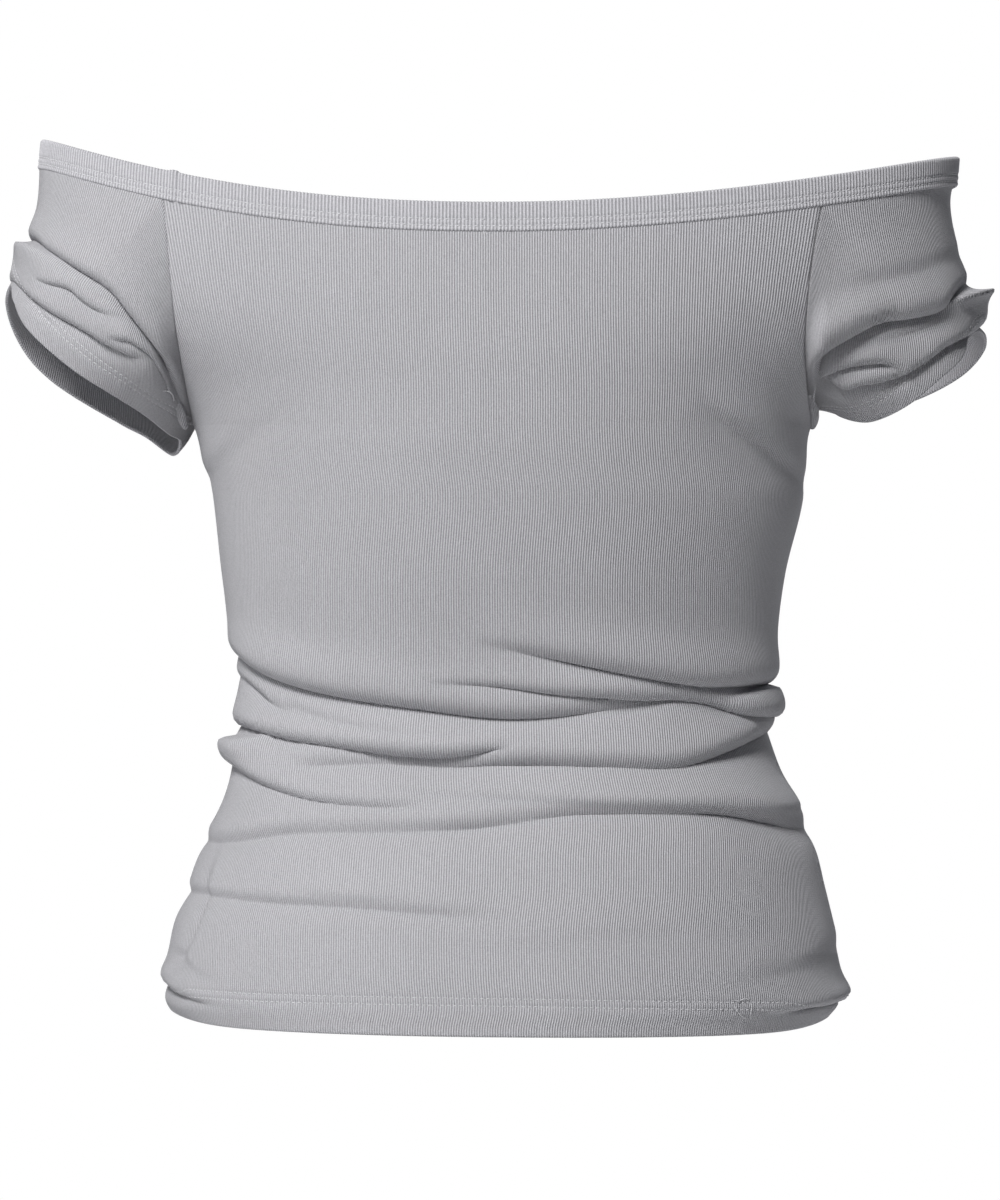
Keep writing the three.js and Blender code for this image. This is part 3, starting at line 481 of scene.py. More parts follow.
def panel_points(front, middle_columns):
    inner = np.linspace(-1 + SEAM_SHARES[-1], 1 - SEAM_SHARES[-1], middle_columns)
    shares = np.concatenate([-1 + SEAM_SHARES[:-1], inner, 1 - SEAM_SHARES[-2::-1]])
    across = (-shares if front else shares)[None]
    level = PANEL_LEVELS[:, None]
    low_angle = round_angle(front, across * math.pi / 2) + 0 * level
    near_hem = 1 - ease(level, HEM_MIDDLE + HEM_DEPTH, HEM_MIDDLE + 6 * HEM_DEPTH)
    low_z = level + (hem_line(low_angle) - HEM_MIDDLE) * near_hem
    rise = PANEL_RISES[:, None]
    places = {side: seam_place(side, rise, front, NECK_TUCK) for side in (-1, 1)}
    turn = np.where(across < 0, places[-1][1], places[1][1])
    top_turn = np.where(across < 0, places[-1][2], places[1][2])
    high_angle = round_angle(front, across * np.minimum(turn, math.pi / 2))
    top = neckline(round_angle(front, across * top_turn)) + NECK_TUCK
    high_z = UNDERARM + (top - UNDERARM) * rise
    angle, z = np.vstack([low_angle, high_angle]), np.vstack([low_z, high_z])
    smooth = body_point(angle, z)
    out, up = body_bend(front, angle, smooth)
    at_armhole = ease(np.abs(across), 0.7, 1) * ease(z, UNDERARM - ARMHOLE_HOLD, UNDERARM)
    hold = ease(z - hem_line(angle), 0, 0.9 * HEM_DEPTH) * (1 - at_armhole)
    folded = smooth + outward(angle, z) * (out * hold)[..., None]
    folded[..., 2] += up * hold
    return smooth, folded, np.concatenate([0 * level, rise])


print(len(PANEL_LEVELS) + len(PANEL_RISES), "rows in a panel")

# %% [markdown]
# A cloth wall is made from such a grid by moving its points out and in along the surface's normal, and
# rolling a small half round over the hem and the upper edge. The ribs of the knit are too fine to model, so
# they need a map: one number counts ribs across the cloth and the other counts stitches up it. Both are
# measured along the cloth itself, so a rib keeps its 1.15 mm whatever the fold does.

# %% From points to a wall of cloth
RIB = 1.15
STITCH = 0.85
EDGE_STEPS = 3


def normals(points, closed):
    rows = np.gradient(points, axis=0)
    if closed:
        wrapped = np.concatenate([points[:, -1:], points, points[:, :1]], 1)
        return unit(np.cross((wrapped[:, 2:] - wrapped[:, :-2]) / 2, rows))
    return unit(np.cross(np.gradient(points, axis=1), rows))


def edge_roll(outer, inner, beyond):
    middle, half = (outer + inner) / 2, (outer - inner) / 2
    away = unit(beyond) * np.linalg.norm(half, axis=-1, keepdims=True)
    turns = math.pi * (np.arange(EDGE_STEPS) + 1) / (EDGE_STEPS + 1)
    return np.stack([middle + math.cos(t) * half + math.sin(t) * away for t in turns])


def link_mesh(name, points, faces, material):
    mesh = bpy.data.meshes.new(name)
    mesh.from_pydata((np.asarray(points) * MM).tolist(), [], faces)
    mesh.polygons.foreach_set("use_smooth", [True] * len(mesh.polygons))
    mesh.materials.append(material)
    piece = bpy.data.objects.new(name, mesh)
    bpy.context.scene.collection.objects.link(piece)
    return piece


def ring_quads(rows, across, cells):
    j, i = np.meshgrid(np.arange(rows), np.arange(cells), indexing="ij")
    next_j, next_i = (j + 1) % rows, (i + 1) % across
    corners = [j * across + i, j * across + next_i, next_j * across + next_i, next_j * across + i]
    return j, i, next_j, np.stack(corners, -1).reshape(-1, 4).tolist()


def lay_map(piece, places):
    piece.data.uv_layers.new(name="knit").uv.foreach_set("vector", places.astype(np.float32).ravel())


def cloth_wall(name, points, out, back, counts, closed, material):
    face = normals(points, closed)
    outer, inner = points + face * out[..., None], points - face * back[..., None]
    top = edge_roll(outer[-1], inner[-1], points[-1] - points[-2])
    bottom = edge_roll(outer[0], inner[0], points[0] - points[1])
    ring = np.concatenate([outer, top, inner[::-1], bottom[::-1]])
    rows, across = len(points), points.shape[1]
    last = 2 * rows + EDGE_STEPS - 1
    row_of = np.array([*range(rows), *[rows - 1] * EDGE_STEPS, *range(rows)[::-1], *[0] * EDGE_STEPS])
    j, i, next_j, faces = ring_quads(len(ring), across, across if closed else across - 1)
    map_rows = np.stack([row_of[j], row_of[j], row_of[next_j], row_of[next_j]], -1).reshape(-1)
    map_columns = np.stack([i, i + 1, i + 1, i], -1).reshape(-1)
    places = counts[map_rows, map_columns]
    if not closed:
        strips = [[k, last - k, last - k - 1, k + 1] for k in range(rows - 1)]
        caps = [[*range(rows - 1, rows + EDGE_STEPS + 1)], [*range(last, len(ring)), 0]]
        for column, flip in ((0, 1), (across - 1, -1)):
            side = [[row * across + column for row in strip][::flip] for strip in strips]
            side += [[row * across + column for row in cap][::-flip] for cap in caps]
            faces += side
            corners = np.array([corner for face_corners in side for corner in face_corners])
            places = np.vstack([places, counts[row_of[corners // across], column]])
    piece = link_mesh(name, ring.reshape(-1, 3), faces, material)
    lay_map(piece, places)
    print(name, len(piece.data.polygons) * 2, "triangles")
    return piece, outer, face


# %% [markdown]
# Rib jersey shows as fine upright cords with dark gullies between them, and each cord is a chain of small
# loops. The map's first number turns into a rounded wave for the cord, and the second adds the loops. The
# same wave paints shade into the gullies and a highlight onto the cords, and two layers of noise give the
# yarn its slight unevenness. Bump does the relief here, because a rib is a fraction of a millimetre high.

# %% Cloth and thread materials
JERSEY = (0.385, 0.383, 0.405)
# The neckband is the same jersey, painted a little darker as shade because it leans in and catches more light
# from above.
NECKBAND_WITH_PAINTED_SHADE = (0.375, 0.373, 0.395)
THREAD = (0.50, 0.50, 0.52)
TURN = 2 * math.pi
YARN_ACROSS, YARN_ALONG = 3.1, 0.9
FUZZ_SCALE, BROAD_SCALE = 1500.0, 16.0
# Dark and light ends of the knit's colour: painted shade in the gullies and a painted highlight on the cords,
# which also span the yarn's random tone.
PAINTED_GULLY_SHADE_AND_DARK_YARN, PAINTED_CORD_LIGHT_AND_PALE_YARN, SHADE_GAIN = 0.28, 1.72, 0.44


def rgba(color, scale=1.0):
    return tuple(c * scale for c in color) + (1.0,)


def start_material(name):
    material = bpy.data.materials.new(name)
    material.use_nodes = True
    tree = material.node_tree
    tree.nodes.clear()
    output = tree.nodes.new("ShaderNodeOutputMaterial")
    return material, Wire(tree), output


def mixed_colors(wire, factor, dark, light):
    return wire.node("Mix", {"data_type": "RGBA"}, {"Factor": factor, "A": dark, "B": light}, output=2)


def knit_material(name, color, relief):
    material, wire, output = start_material(name)
    place = wire.node("UVMap", {"uv_map": "knit"})
    across = wire.node("SeparateXYZ", inputs={0: place}, output=0)
    along = Wire(wire.tree, across.socket.node.outputs[1])
    cord = 0.5 + 0.5 * (across * TURN).math("COSINE")
    off_middle = ((across + 0.5).math("FRACT") - 0.5).math("ABSOLUTE")
    loop = 0.5 + 0.5 * ((along + off_middle) * TURN).math("COSINE")
    yarn_place = wire.node("CombineXYZ", inputs={0: across * YARN_ACROSS, 1: along * YARN_ALONG})
    yarn = wire.node("TexNoise", inputs={"Vector": yarn_place, "Scale": 1.0, "Detail": 3.0})
    object_place = wire.node("TexCoord", output=3)
    fuzz = wire.node("TexNoise", inputs={"Vector": object_place, "Scale": FUZZ_SCALE, "Detail": 2.0})
    broad = wire.node("TexNoise", inputs={"Vector": object_place, "Scale": BROAD_SCALE, "Detail": 2.0})
    height = cord * (0.8 + 0.2 * loop) + yarn * 0.35 + fuzz * 0.2
    # The cord and loop terms paint shade into the gullies and a highlight onto the cords. The yarn, fuzz and
    # broad noise are the knit's own random tone.
    shade = cord * 0.8 + loop * cord * 0.15 + yarn * 0.45 + fuzz * 0.9 + broad * 0.1
    mix = mixed_colors(wire, shade * SHADE_GAIN, rgba(color, PAINTED_GULLY_SHADE_AND_DARK_YARN), rgba(color, PAINTED_CORD_LIGHT_AND_PALE_YARN))
    bump = wire.node("Bump", inputs={"Strength": 1.0, "Distance": relief * MM, "Height": height})
    bsdf = wire.node(
        "BsdfPrincipled",
        inputs={"Base Color": mix, "Roughness": 0.93, "Normal": bump, "Specular IOR Level": 0.25,
                "Sheen Weight": 0.08, "Sheen Roughness": 0.5},
    )
    wire.tree.links.new(bsdf.socket, output.inputs["Surface"])
    return material


def thread_material():
    material, wire, output = start_material("sewing_thread")
    place = wire.node("TexCoord", output=3)
    twist = wire.node("TexNoise", inputs={"Vector": place, "Scale": 900.0, "Detail": 2.0})
    mix = mixed_colors(wire, twist, rgba(THREAD, 0.8), rgba(THREAD, 1.2))
    bump = wire.node("Bump", inputs={"Strength": 1.0, "Distance": 0.05 * MM, "Height": twist})
    bsdf = wire.node("BsdfPrincipled", inputs={"Base Color": mix, "Roughness": 0.7, "Normal": bump})
    wire.tree.links.new(bsdf.socket, output.inputs["Surface"])
    return material


jersey = knit_material("rib_jersey", JERSEY, 0.36)
neckband_jersey = knit_material("neckband_jersey", NECKBAND_WITH_PAINTED_SHADE, 0.12)
sewing_thread = thread_material()
print("materials:", jersey.name, neckband_jersey.name, sewing_thread.name)

# %% [markdown]
# Now the two body panels. Ribs run straight up the middle, and towards the armholes they lean out, because
# the sleeves pull the upper part wide. The side and armhole edges dip into the seam, and the hem has two
# shallow lines where the sewing pulls it in.

# %% Back and front panels
CLOTH = 1.2
HEM_CLOTH = 1.7
SEAM_DIP, SEAM_REACH = 0.7, 0.55
HEM_ROWS = (13.1, 16.4)
ROW_DIP, ROW_REACH = 0.35, 0.8
RIB_LEAN = 0.107


def dips(height, rows):
    return -ROW_DIP * sum(np.exp(-(((height - row) / ROW_REACH) ** 2)) for row in rows)


def body_panel(name, front, middle_columns):
    smooth, points, rise = panel_points(front, middle_columns)
    span = lengths(smooth, 1)
    middle = np.argmin(np.abs(np.linspace(-1, 1, points.shape[1])))
    rib_place = span - span[:, middle : middle + 1]
    share = rib_place / np.abs(rib_place).max(1, keepdims=True)
    rib_place = rib_place * (1 - RIB_LEAN * rise * share**2)
    height = lengths(points, 0)
    to_seam = np.minimum(span, span[:, -1:] - span)
    out = CLOTH / 2 - SEAM_DIP * np.exp(-to_seam / SEAM_REACH) + dips(height, HEM_ROWS)
    back = np.where(height < HEM_DEPTH, HEM_CLOTH - CLOTH / 2, CLOTH / 2)
    counts = np.stack([rib_place / RIB, height / STITCH], -1)
    piece, outer, face = cloth_wall(name, points, out, back, counts, False, jersey)
    return piece, outer, face, height


back_cloth, back_outer, back_face, back_height = body_panel("back_cloth", False, 150)
front_cloth, front_outer, front_face, front_height = body_panel("front_cloth", True, 132)

# %% [markdown]
# A sleeve is a tube. Its upper loop follows the armhole seam behind, then the neckband over the outside, then
# the armhole seam in front. Its hem is a slanted ring, lower in front than behind, so the view from behind
# looks a little way into it. The sleeve has been pushed up, and lies in two tiers. The knit's map is gathered
# along the lie of the grain, as if the tube were cut open along its underarm.

# %% Shape of the sleeves
LEFT_SLEEVE = {
    "side": -1,
    "middle": (-187.6, -91),
    "outwards": (-0.74, 0.67),
    "axis": -168,
    "pinch": (4.0, 1.0),
    "grain": (48, 66),
    "ring": columns(
        "turn out drop back",
        (0, -52, -2, 0), (0.06, -46.5, -1.2, 16), (0.13, -33, -0.5, 31), (0.2, -16, 2.5, 42),
        (0.28, 6, 6, 43),
        (0.37, 32, 6, 33), (0.44, 46.5, 1, 17), (0.5, 53, -3, 2), (0.56, 50.5, 5, -14), (0.64, 39, 13.5, -31),
        (0.69, 25, 17.7, -39), (0.74, 8, 17.6, -43), (0.86, -26, 10.8, -34), (0.9, -38, 7.6, -24),
        (0.94, -53, 5.5, -12),
    ),
    "folds": [
        Fold("long valley", (4.2, 2.2, 3.6, 4, 2.6), [(-228, -35.5, 0.6), (-216, -32, 0.8), (-207, -38, 0.8),
             (-194, -46.5, 0.9), (-177.6, -57, 1), (-168, -68.5, 1.3), (-155, -84.2, 1.7), (-148, -101, 1.4),
             (-145, -112, 0.6)], lip=(2.4, 5)),
        Fold("corner of the lower tier", (0, 0, 3, 3, 0), [(-234, -36.5, 1), (-216, -36, 0.9),
             (-205, -42, 0.3), (-196, -47, 0)], corner=(6.5, 1.2, 9)),
        Fold("line along the lower tier", (1.9, 0.9, 2.6, 4, 0.8), [(-212, -52, 0), (-206, -54.3, 0.7),
             (-196, -57, 1), (-190, -62.1, 1), (-181.7, -67.2, 0.9), (-168, -72, 0)]),
        Fold("short line under the valley", (0.9, 0.5, 2, 3, 0.3), [(-186, -58, 0), (-178, -62.5, 1),
             (-168, -68, 0)]),
        Fold("lower valley", (2.8, 1.5, 3, 4, 1.6), [(-223, -52, 0.5), (-215.7, -59.3, 0.8), (-206, -66.2, 1),
             (-190, -75.4, 1), (-174.3, -84.2, 1), (-160, -89, 0)], lip=(0.8, 6)),
        Fold("faint line near the hem", (0.7, 0.4, 2, 3, 0.2), [(-213, -63, 0), (-208, -69.5, 1),
             (-198, -77, 0)]),
        Fold("nip at the armhole", (2.0, 1.0, 2.2, 3, 0.6), [(-178, -79, 0), (-172, -79.8, 0.7),
             (-166.5, -81, 1), (-158.7, -87.9, 1), (-152.7, -99.8, 0.6)]),
    ],
}
RIGHT_SLEEVE = {
    "side": 1,
    "middle": (182.8, -91),
    "outwards": (0.936, 0.353),
    "axis": 164,
    "pinch": (5.4, 0.6),
    "grain": (59, 96),
    "ring": columns(
        "turn out drop back",
        (0, -42, -3, 0), (0.06, -39, 4, 14), (0.12, -33, 12, 26), (0.18, -23, 18, 36), (0.25, -6, 17, 42),
        (0.33, 12, 11, 39), (0.4, 25, 6, 30), (0.46, 35, -2, 16), (0.5, 41.5, -3, 0), (0.56, 40, 5.5, -17),
        (0.64, 27, 13, -32), (0.74, 3, 15.5, -42), (0.86, -27, 11, -31), (0.94, -40, 3, -14),
    ),
    "folds": [
        Fold("overhang of the upper tier", (5.0, 3.6, 5.5, 6, 4.0), [(142, -101, 0.3), (143.2, -92, 1.1),
             (146.5, -83, 1.7), (156.9, -77.3, 1.4), (171.6, -71.3, 1), (186.8, -68.5, 1), (199.6, -65, 0.9),
             (208, -57, 0.6), (213, -53, 0.3)]),
        Fold("flap at the outside", (0, 0, 4, 3, 0), [(196, -66, 0), (206, -61, 0.6), (216, -58.5, 1),
             (236, -60, 1)], corner=(11.5, 2.2, 5.5)),
        Fold("arc across the lower tier", (3.4, 1.6, 3, 4, 2.0), [(142, -100, 0), (146.7, -97.1, 0.8),
             (155.5, -92.9, 1), (168.8, -90.6, 1), (178, -92.5, 0.4), (184, -95, 0)], lip=(0.8, 6)),
        Fold("long lower crease", (3.2, 2.0, 3.2, 4, 2.2), [(142, -99, 0), (147.7, -100.3, 0.8),
             (155.5, -102.1, 1), (162.8, -100.3, 1), (178.5, -97.1, 1), (191.4, -90.2, 1),
             (202.4, -82.3, 1), (214.8, -75, 1.1), (222, -69, 1.1)], lip=(1, 6)),
        Fold("faint line on the lower tier", (0.8, 0.4, 2, 3, 0.2), [(168, -82, 0), (174, -80.5, 0.7),
             (187.2, -76.4, 1), (196, -73.1, 0.8), (203, -70, 0)]),
        Fold("soft roll on the upper tier", (0.5, 1.0, 8, 6, 0), [(150, -58, 0), (166, -56, 1), (186, -51, 1),
             (204, -44, 0.8), (214, -38, 0.5)]),
    ],
}
SEAM_TOP_TURN = 0.33
ARM_ROWS, ARC_ROWS, BUNCHING = 11, 7, 1.7
SLEEVE_BULGE = 4.0
SLEEVE_COLUMNS = 240
SLEEVE_HEM = 12.0
SLEEVE_HEM_ROWS = (9.4, 12.2)
SLEEVE_SHARES = [0, 0.004, 0.008, 0.013, 0.02, 0.03, *np.linspace(0.042, 0.985, 92), 0.992, 0.997, 1]
SLEEVE_TOP_HOLD, SHORT_SLEEVE_HOLD = 14, 40


def sleeve_points(sleeve):
    side, (out_x, out_z) = sleeve["side"], sleeve["outwards"]
    ring = sleeve["ring"]
    turns = np.concatenate([ring["turn"] - 1, ring["turn"], ring["turn"] + 1])
    read = {name: curve(turns, np.tile(ring[name], 3)) for name in ("out", "drop", "back")}
    half = ARM_ROWS + ARC_ROWS
    upper, turn, climbs = [], [], []
    for i in range(SLEEVE_COLUMNS):
        place = i * 2 * half / SLEEVE_COLUMNS
        front = place > half
        climb = 2 * half - place if front else place
        past = max(climb - ARM_ROWS, 0) / ARC_ROWS
        z, angle, top = seam_place(side, (min(climb, ARM_ROWS) / ARM_ROWS) ** BUNCHING, front, NECK_TUCK)
        angle = round_angle(front, side * (float(angle) if not past else top + (math.pi / 2 - top) * past))
        z = neckline(angle) + NECK_TUCK if past else z
        upper.append(body_point(angle, np.float64(z)))
        at = SEAM_TOP_TURN * climb / ARM_ROWS if not past else SEAM_TOP_TURN + (0.5 - SEAM_TOP_TURN) * past
        turn.append(1 - at if front else at)
        climbs.append(climb / half)
    turn, climbs, upper = np.array(turn), np.array(climbs), np.array(upper)
    out, drop, back = read["out"](turn), side * read["drop"](turn), read["back"](turn)
    x, z = sleeve["middle"]
    hem = np.stack([x + out * out_x + drop * out_z, -back, z + out * out_z - drop * out_x], -1)
    length = np.linalg.norm(hem - upper, axis=-1)
    shares = np.array(SLEEVE_SHARES)[::-1, None]
    points = upper + (hem - upper) * shares[..., None]
    away = points - np.array([sleeve["axis"], 0, 0])
    away[..., 2] = 0
    pinch, skew = sleeve["pinch"]
    round_out = SLEEVE_BULGE * np.sin(math.pi * shares) * np.sin(math.pi * climbs)
    round_out = round_out - pinch * np.sin(math.pi * shares**skew) * ease(climbs, 0.6, 1)
    points = points + unit(away) * round_out[..., None]
    order = slice(None) if side > 0 else slice(None, None, -1)
    points, length = points[:, order], length[order]
    bend_out, bend_up = bend_all(sleeve["folds"], points[..., 0], points[..., 2])
    hold = ease(shares * length, 0, SLEEVE_TOP_HOLD) * ease(length, 0, SHORT_SLEEVE_HOLD)
    folded = points + normals(points, True) * (bend_out * hold)[..., None]
    folded[..., 2] += bend_up * hold
    return points, folded, shares * length


def grain_counts(points, side, grain):
    lean = np.radians(np.linspace(grain[1], grain[0], len(points)))[:, None]
    along = np.stack(np.broadcast_arrays(-side * np.cos(lean), 0, np.sin(lean)), -1)
    face = normals(points, True)
    along = unit(along - face * np.sum(along * face, -1, keepdims=True))
    across = np.cross(along, face)
    ring = np.concatenate([points, points[:, :1]], 1)
    middle = points.shape[1] // 2

    def gather(way):
        way = np.concatenate([way, way[:, :1]], 1)
        sideways = np.sum((way[:, 1:] + way[:, :-1]) / 2 * np.diff(ring, axis=1), -1)
        upwards = np.sum((way[1:] + way[:-1]) / 2 * np.diff(ring, axis=0), -1)
        total = np.concatenate([np.zeros((len(ring), 1)), np.cumsum(sideways, 1)], 1)
        rise = np.concatenate([[0], np.cumsum(upwards[:, middle])])
        return total - total[:, middle : middle + 1] + rise[:, None]

    return np.stack([gather(across) / RIB, gather(along) / STITCH], -1)


def sleeve_cloth(name, sleeve):
    smooth, points, from_top = sleeve_points(sleeve)
    height = lengths(points, 0)
    out = CLOTH / 2 - SEAM_DIP * np.exp(-from_top / SEAM_REACH) + dips(height, SLEEVE_HEM_ROWS)
    back = np.where(height < SLEEVE_HEM, HEM_CLOTH - CLOTH / 2, CLOTH / 2)
    counts = grain_counts(smooth, sleeve["side"], sleeve["grain"])
    return *cloth_wall(name, points, out, back, counts, True, jersey), height


left_sleeve, left_outer, left_face, left_height = sleeve_cloth("sleeve_left_cloth", LEFT_SLEEVE)
right_sleeve, right_outer, right_face, right_height = sleeve_cloth("sleeve_right_cloth", RIGHT_SLEEVE)

# %% [markdown]
# The neckband is one strip of the same jersey folded over the neckline. Here the ribs are real geometry: they
# show as small teeth along the folded upper edge, where bump would leave a smooth line. The cross-section is
# a flat loop, and every fourth column sits in a gully.

# %% Neckband
BAND_HEIGHT = 13.6
BAND_OUT, BAND_IN = 1.35, 0.9
BAND_LEAN = {"middle": 2.0, "left": 1.5, "right": -1.0}
BAND_ROWS = (2.6, 5.5)
BAND_RIB_WIDTH = 1.61
BAND_RIB = 0.36
BAND_DIP = 0.4
BAND_PER_RIB = 4
BAND_EDGE, BAND_TOP = 1.1, 12.4
BAND_OUTER_ROWS, BAND_INNER_ROWS = 20, 8
JOIN_X = -146.0
JOIN_OUT = columns("at width height", (0, 0.7, -0.55), (-2.2, 1.6, 0.55), (2, 1.3, 0.35))
JOIN_UP = columns("at width height", (-1.6, 2.6, 0.9), (0.8, 0.8, -0.2))


def band_points():
    coarse = np.linspace(-math.pi, math.pi, 721)
    loop = lengths(body_point(coarse, neckline(coarse))[None], 1)[0]
    ribs = round(loop[-1] / BAND_RIB_WIDTH)
    place = np.linspace(0, 1, ribs * BAND_PER_RIB + 1)[:-1]
    angle = np.interp(place * loop[-1], loop, coarse)
    base, out = body_point(angle, neckline(angle)), outward(angle, 0 * angle)
    end = np.where(np.sin(angle) < 0, BAND_LEAN["left"], BAND_LEAN["right"])
    lean = BAND_LEAN["middle"] + (end - BAND_LEAN["middle"]) * np.abs(np.sin(angle)) ** 4
    return angle, place * loop[-1], base, out, lean, ribs


def band_section():
    straight, over = np.linspace(BAND_EDGE, BAND_TOP, BAND_OUTER_ROWS), np.linspace(0.3, 1.5, 4)
    dip = BAND_DIP * sum(np.exp(-(((straight - row) / 0.6) ** 2)) for row in BAND_ROWS)
    inside = np.linspace(BAND_TOP, BAND_EDGE, BAND_INNER_ROWS)
    under = np.linspace(0.2, math.pi - 0.2, 5)
    under_up = BAND_EDGE - BAND_EDGE * np.sin(under)
    under_out = -np.cos(under) * (BAND_OUT + BAND_IN) / 2 + (BAND_OUT - BAND_IN) / 2
    up = [straight, BAND_TOP + BAND_EDGE * np.sin(over), inside, under_up]
    out = [BAND_OUT - dip, BAND_OUT * np.cos(over), np.full(BAND_INNER_ROWS, -BAND_IN), under_out]
    return np.concatenate(up), np.concatenate(out)


def swells(beside, table):
    off = (beside[:, None] - table["at"]) / table["width"]
    return np.sum(table["height"] * np.exp(-(off**2)), -1)


def make_band():
    angle, place, base, out, lean, ribs = band_points()
    up, side = band_section()
    tooth = BAND_RIB * (0.5 + 0.5 * np.cos(TURN * place / place[1] / BAND_PER_RIB)) - BAND_RIB / 2
    beside = np.where(np.cos(angle) > 0, base[:, 0] - JOIN_X, np.inf)
    join, lift = swells(beside, JOIN_OUT), swells(beside, JOIN_UP)
    sewn = 1 - 0.6 * sum(np.exp(-(((up - row) / 0.7) ** 2)) for row in BAND_ROWS)
    offset = side[:, None] + np.sign(side)[:, None] * (tooth * sewn[:, None] + join)
    height = up[:, None] + (tooth * 0.7 + lift) * ease(up, 9, 13.4)[:, None]
    points = base + out * (offset - lean * height / BAND_HEIGHT)[..., None]
    points[..., 2] += height
    rows, across = points.shape[:2]
    j, i, next_j, faces = ring_quads(rows, across, across)
    piece = link_mesh("neckband_cloth", points.reshape(-1, 3), faces, neckband_jersey)
    girth = np.concatenate([place, [place[1] * across]])
    counts = np.stack(np.broadcast_arrays(girth[None] / girth[-1] * ribs, up[:, None] / STITCH), -1)
    corners = [counts[j, i], counts[j, i + 1], counts[next_j, i + 1], counts[next_j, i]]
    lay_map(piece, np.stack(corners, -2))
    print("neckband", ribs, "ribs,", len(piece.data.polygons) * 2, "triangles")
    shown = points[:BAND_OUTER_ROWS]
    level = np.broadcast_to(up[:BAND_OUTER_ROWS, None], shown.shape[:2])
    return piece, shown, np.broadcast_to(out, shown.shape), level


neckband, band_outer, band_face, band_height = make_band()

# %% [markdown]
# Sewing is what tells cloth from plastic. A coverstitch shows outside as two rows of short stitches, each
# one a small capsule whose ends dive into the cloth. All the stitches of a seam are one joined mesh, built
# from arrays in a single step. The rows follow the real surface, so they ride over every fold.

# %% Rows of sewing
STITCH_PITCH = 2.75
STITCH_LENGTH = 2.0
STITCH_SINK = 0.05
THREAD_RADIUS = 0.26
STITCH_SIDES = 6
STITCH_FORM = columns(
    "along radius lift",
    (0, 0.55, -0.32), (0.2, 1, 0.02), (0.5, 1.1, 0.1), (0.8, 1, 0.02), (1, 0.55, -0.32),
)


def strands(name, paths, faces, radii, material, sides=STITCH_SIDES):
    along = unit(np.gradient(paths, axis=1))
    up = unit(faces - along * np.sum(faces * along, -1, keepdims=True))
    beside = np.cross(along, up)
    turns = TURN * np.arange(sides) / sides
    rings = [paths + radii[..., None] * (math.cos(t) * up + math.sin(t) * beside) for t in turns]
    points = np.stack(rings, 2)
    count, steps = paths.shape[:2]
    corner = np.arange(points.size // 3).reshape(count, steps, sides)
    turned = np.roll(corner, -1, 2)
    walls = np.stack([corner[:, :-1], turned[:, :-1], turned[:, 1:], corner[:, 1:]], -1)
    ends = [*corner[:, 0, ::-1].tolist(), *corner[:, -1].tolist()]
    piece = link_mesh(name, points.reshape(-1, 3), walls.reshape(-1, 4).tolist() + ends, material)
    step, side = np.meshgrid(np.arange(steps - 1), np.arange(sides), indexing="ij")
    places = np.stack([side, step, side + 1, step, side + 1, step + 1, side, step + 1], -1).reshape(-1, 2)
    lay_map(piece, np.vstack([np.tile(places, (count, 1)), np.zeros((2 * count * sides, 2))]))
    return piece


def row_line(outer, face, height, level):
    line = [[np.interp(level, height[:, i], grid[:, i, k]) for k in range(3)] for grid in (outer, face)
            for i in range(outer.shape[1])]
    line = np.array(line).reshape(2, -1, 3)
    return line[0], line[1]


def stitch_paths(outer, face, height, level, closed):
    line, out = row_line(outer, face, height, level)
    if closed:
        line, out = np.vstack([line, line[:1]]), np.vstack([out, out[:1]])
    place = lengths(line[None], 1)[0]
    count = int(place[-1] / STITCH_PITCH)
    starts = (np.arange(count) + 0.2) * place[-1] / count
    at = starts[:, None] + STITCH_FORM["along"] * STITCH_LENGTH
    path = np.stack([np.interp(at, place, line[:, k]) for k in range(3)], -1)
    out = unit(np.stack([np.interp(at, place, out[:, k]) for k in range(3)], -1))
    path = path + out * (STITCH_FORM["lift"] - STITCH_SINK)[..., None]
    return path, out


def sew(name, panels, levels, closed=True):
    made = [stitch_paths(*panel, level, closed) for level in levels for panel in panels]
    paths, faces = np.concatenate([m[0] for m in made]), np.concatenate([m[1] for m in made])
    radii = np.broadcast_to(STITCH_FORM["radius"] * THREAD_RADIUS, paths.shape[:2])
    piece = strands(name, paths, faces, radii, sewing_thread)
    print(name, len(paths), "stitches")
    return piece


body_panels = [(back_outer, back_face, back_height), (front_outer, front_face, front_height)]
hem_sewing = sew("hem_sewing", body_panels, HEM_ROWS, closed=False)
band_sewing = sew("neckband_sewing", [(band_outer, band_face, band_height)], BAND_ROWS)
left_sewing = sew("sleeve_left_sewing", [(left_outer, left_face, left_height)], SLEEVE_HEM_ROWS)
right_sewing = sew("sleeve_right_sewing", [(right_outer, right_face, right_height)], SLEEVE_HEM_ROWS)

# %% [markdown]
# Small accidents make sewing believable. Where the hem's sewing starts and ends again its threads hang out, a
# tack holds the neckband, another thread end hangs on the left sleeve, and at both underarms the seam's
# allowance curls out. Each is a short path: across, height and how far it stands off the cloth.

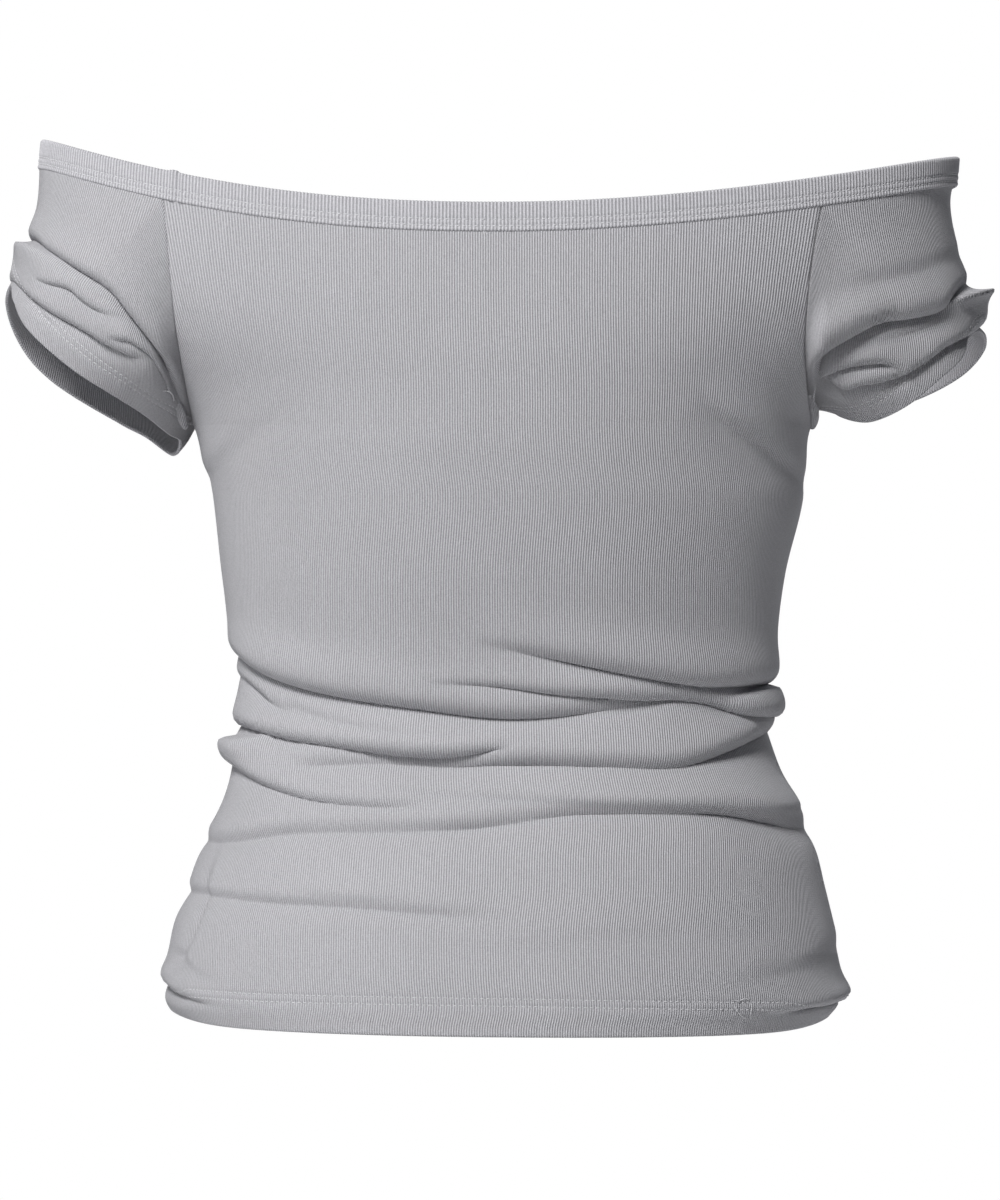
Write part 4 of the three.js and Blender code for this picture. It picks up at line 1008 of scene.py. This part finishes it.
# %% Thread ends, tacks and curled seam ends
THREAD_ENDS = [
    ("back", [(103.4, -377.4, 0.1), (104.4, -380.9, 0.7), (107.2, -383.9, 0.9), (110.2, -385.2, 0.3)]),
    ("back", [(111.0, -377.2, 0.1), (111.5, -379.6, 0.5), (111.1, -382.4, 0.6), (111.2, -385.4, 0.4)]),
    ("back", [(102.6, -376.6, 0.1), (105.6, -377.1, 0.4), (108.4, -376.2, 0.4), (111.4, -377.0, 0.1)]),
    ("back", [(-8.4, -33.2, 0.1), (-8.0, -34.6, 0.35), (-7.6, -35.8, 0.35), (-7.4, -37.0, 0.0)]),
    ("back", [(-7.4, -33.6, 0.1), (-7.0, -34.6, 0.35), (-6.6, -35.4, 0.35), (-6.2, -36.4, 0.0)]),
    ("left", [(-153.8, -103.0, 0.2), (-151.6, -102.6, 1.0), (-150.0, -104.4, 1.3), (-149.6, -107.0, 0.6)]),
]
THREAD_END_RADIUS = 0.22
SEAM_ENDS = [
    ("left", [(-147.0, -108.5, -1.2), (-146.6, -112.0, 0.2), (-146.0, -115.5, 0.5), (-145.0, -118.5, 0.2)]),
    ("back", [(140.8, -104.0, -1.4), (141.8, -109.0, -0.2), (142.6, -114.0, 0.2), (142.6, -118.6, 0.0)]),
]
SEAM_END_RADIUS = 2.1
SEAM_END_SIDES = 16
NEAREST_POINTS = 4
END_CUT, END_BLUNTNESS = 0.35, 0.4


def laid(places, outer, face):
    grid, way = outer[face[..., 1] < 0], face[face[..., 1] < 0]
    points, outs = [], []
    for x, z, off in trace(np.array(places)):
        distance = (grid[:, 0] - x) ** 2 + (grid[:, 2] - z) ** 2
        near = np.argpartition(distance, NEAREST_POINTS)[:NEAREST_POINTS]
        weight = 1 / (distance[near] + 0.01)
        out = unit(weight @ way[near])
        points.append(np.array([x, weight @ grid[near, 1] / weight.sum(), z]) + out * off)
        outs.append(out)
    return np.array(points), np.array(outs)


def laid_strands(name, ends, radius, material, sides):
    hosts = {"back": (back_outer, back_face), "left": (left_outer, left_face)}
    paths, outs = zip(*[laid(places, *hosts[host]) for host, places in ends])
    blunt = np.sin(np.linspace(END_CUT, math.pi - END_CUT, len(paths[0]))) ** END_BLUNTNESS
    radii = np.tile(radius * blunt, (len(paths), 1))
    return strands(name, np.array(paths), np.array(outs), radii, material, sides)


loose_threads = laid_strands("thread_ends", THREAD_ENDS, THREAD_END_RADIUS, sewing_thread, STITCH_SIDES)
curled_seams = laid_strands("seam_ends", SEAM_ENDS, SEAM_END_RADIUS, jersey, SEAM_END_SIDES)
print(len(THREAD_ENDS), "thread ends,", len(SEAM_ENDS), "curled seam ends")

# %% [markdown]
# The floor is a plain pale disc well below the hem. It isn't part of the top.

# %% Floor
FLOOR_HEIGHT = -0.75
FLOOR_RADIUS = 1.9
FLOOR_SIDES = 96
FLOOR_DARK, FLOOR_LIGHT = (0.84, 0.84, 0.85), (0.88, 0.88, 0.88)


def make_floor():
    material, wire, output = start_material("pale_floor")
    place = wire.node("TexCoord", output=3)
    grain = wire.node("TexNoise", inputs={"Vector": place, "Scale": 3.0})
    mix = mixed_colors(wire, grain, rgba(FLOOR_DARK), rgba(FLOOR_LIGHT))
    bsdf = wire.node("BsdfPrincipled", inputs={"Base Color": mix, "Roughness": 0.8})
    wire.tree.links.new(bsdf.socket, output.inputs["Surface"])
    turn = TURN * np.arange(FLOOR_SIDES) / FLOOR_SIDES
    rim = [np.cos(turn) * FLOOR_RADIUS, np.sin(turn) * FLOOR_RADIUS, 0 * turn + FLOOR_HEIGHT]
    rim = np.stack(rim, -1) / MM
    floor = link_mesh("floor", rim, [list(range(FLOOR_SIDES))], material)


make_floor()
print("floor", FLOOR_RADIUS, "m in radius")

# %% [markdown]
# Last, each piece and its sewing are attached to the root, the solid it stands in for is hidden, and the
# area of each cloth is printed.

SHEETS = [
    (back_cloth, "back_panel", "rib_jersey", (0.33, 0.385), 0.109, [hem_sewing, loose_threads, curled_seams]),
    (front_cloth, "front_panel", "rib_jersey", (0.33, 0.385), 0.109, []),
    (left_sleeve, "sleeve_left", "rib_jersey", (0.29, 0.12), 0.022, [left_sewing]),
    (right_sleeve, "sleeve_right", "rib_jersey", (0.29, 0.12), 0.022, [right_sewing]),
    (neckband, "neckband", "neckband_jersey", (0.98, 0.0165), None, [band_sewing]),
]
for piece, node, slot, flat, area, sewn_on in SHEETS:
    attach(piece, "root")
    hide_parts(node)
    for sewing in sewn_on:
        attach(sewing, "root")
    surface = sum(p.area for p in piece.data.polygons) / 2
    print(piece.name, "cloth area", round(surface, 4), "m2")
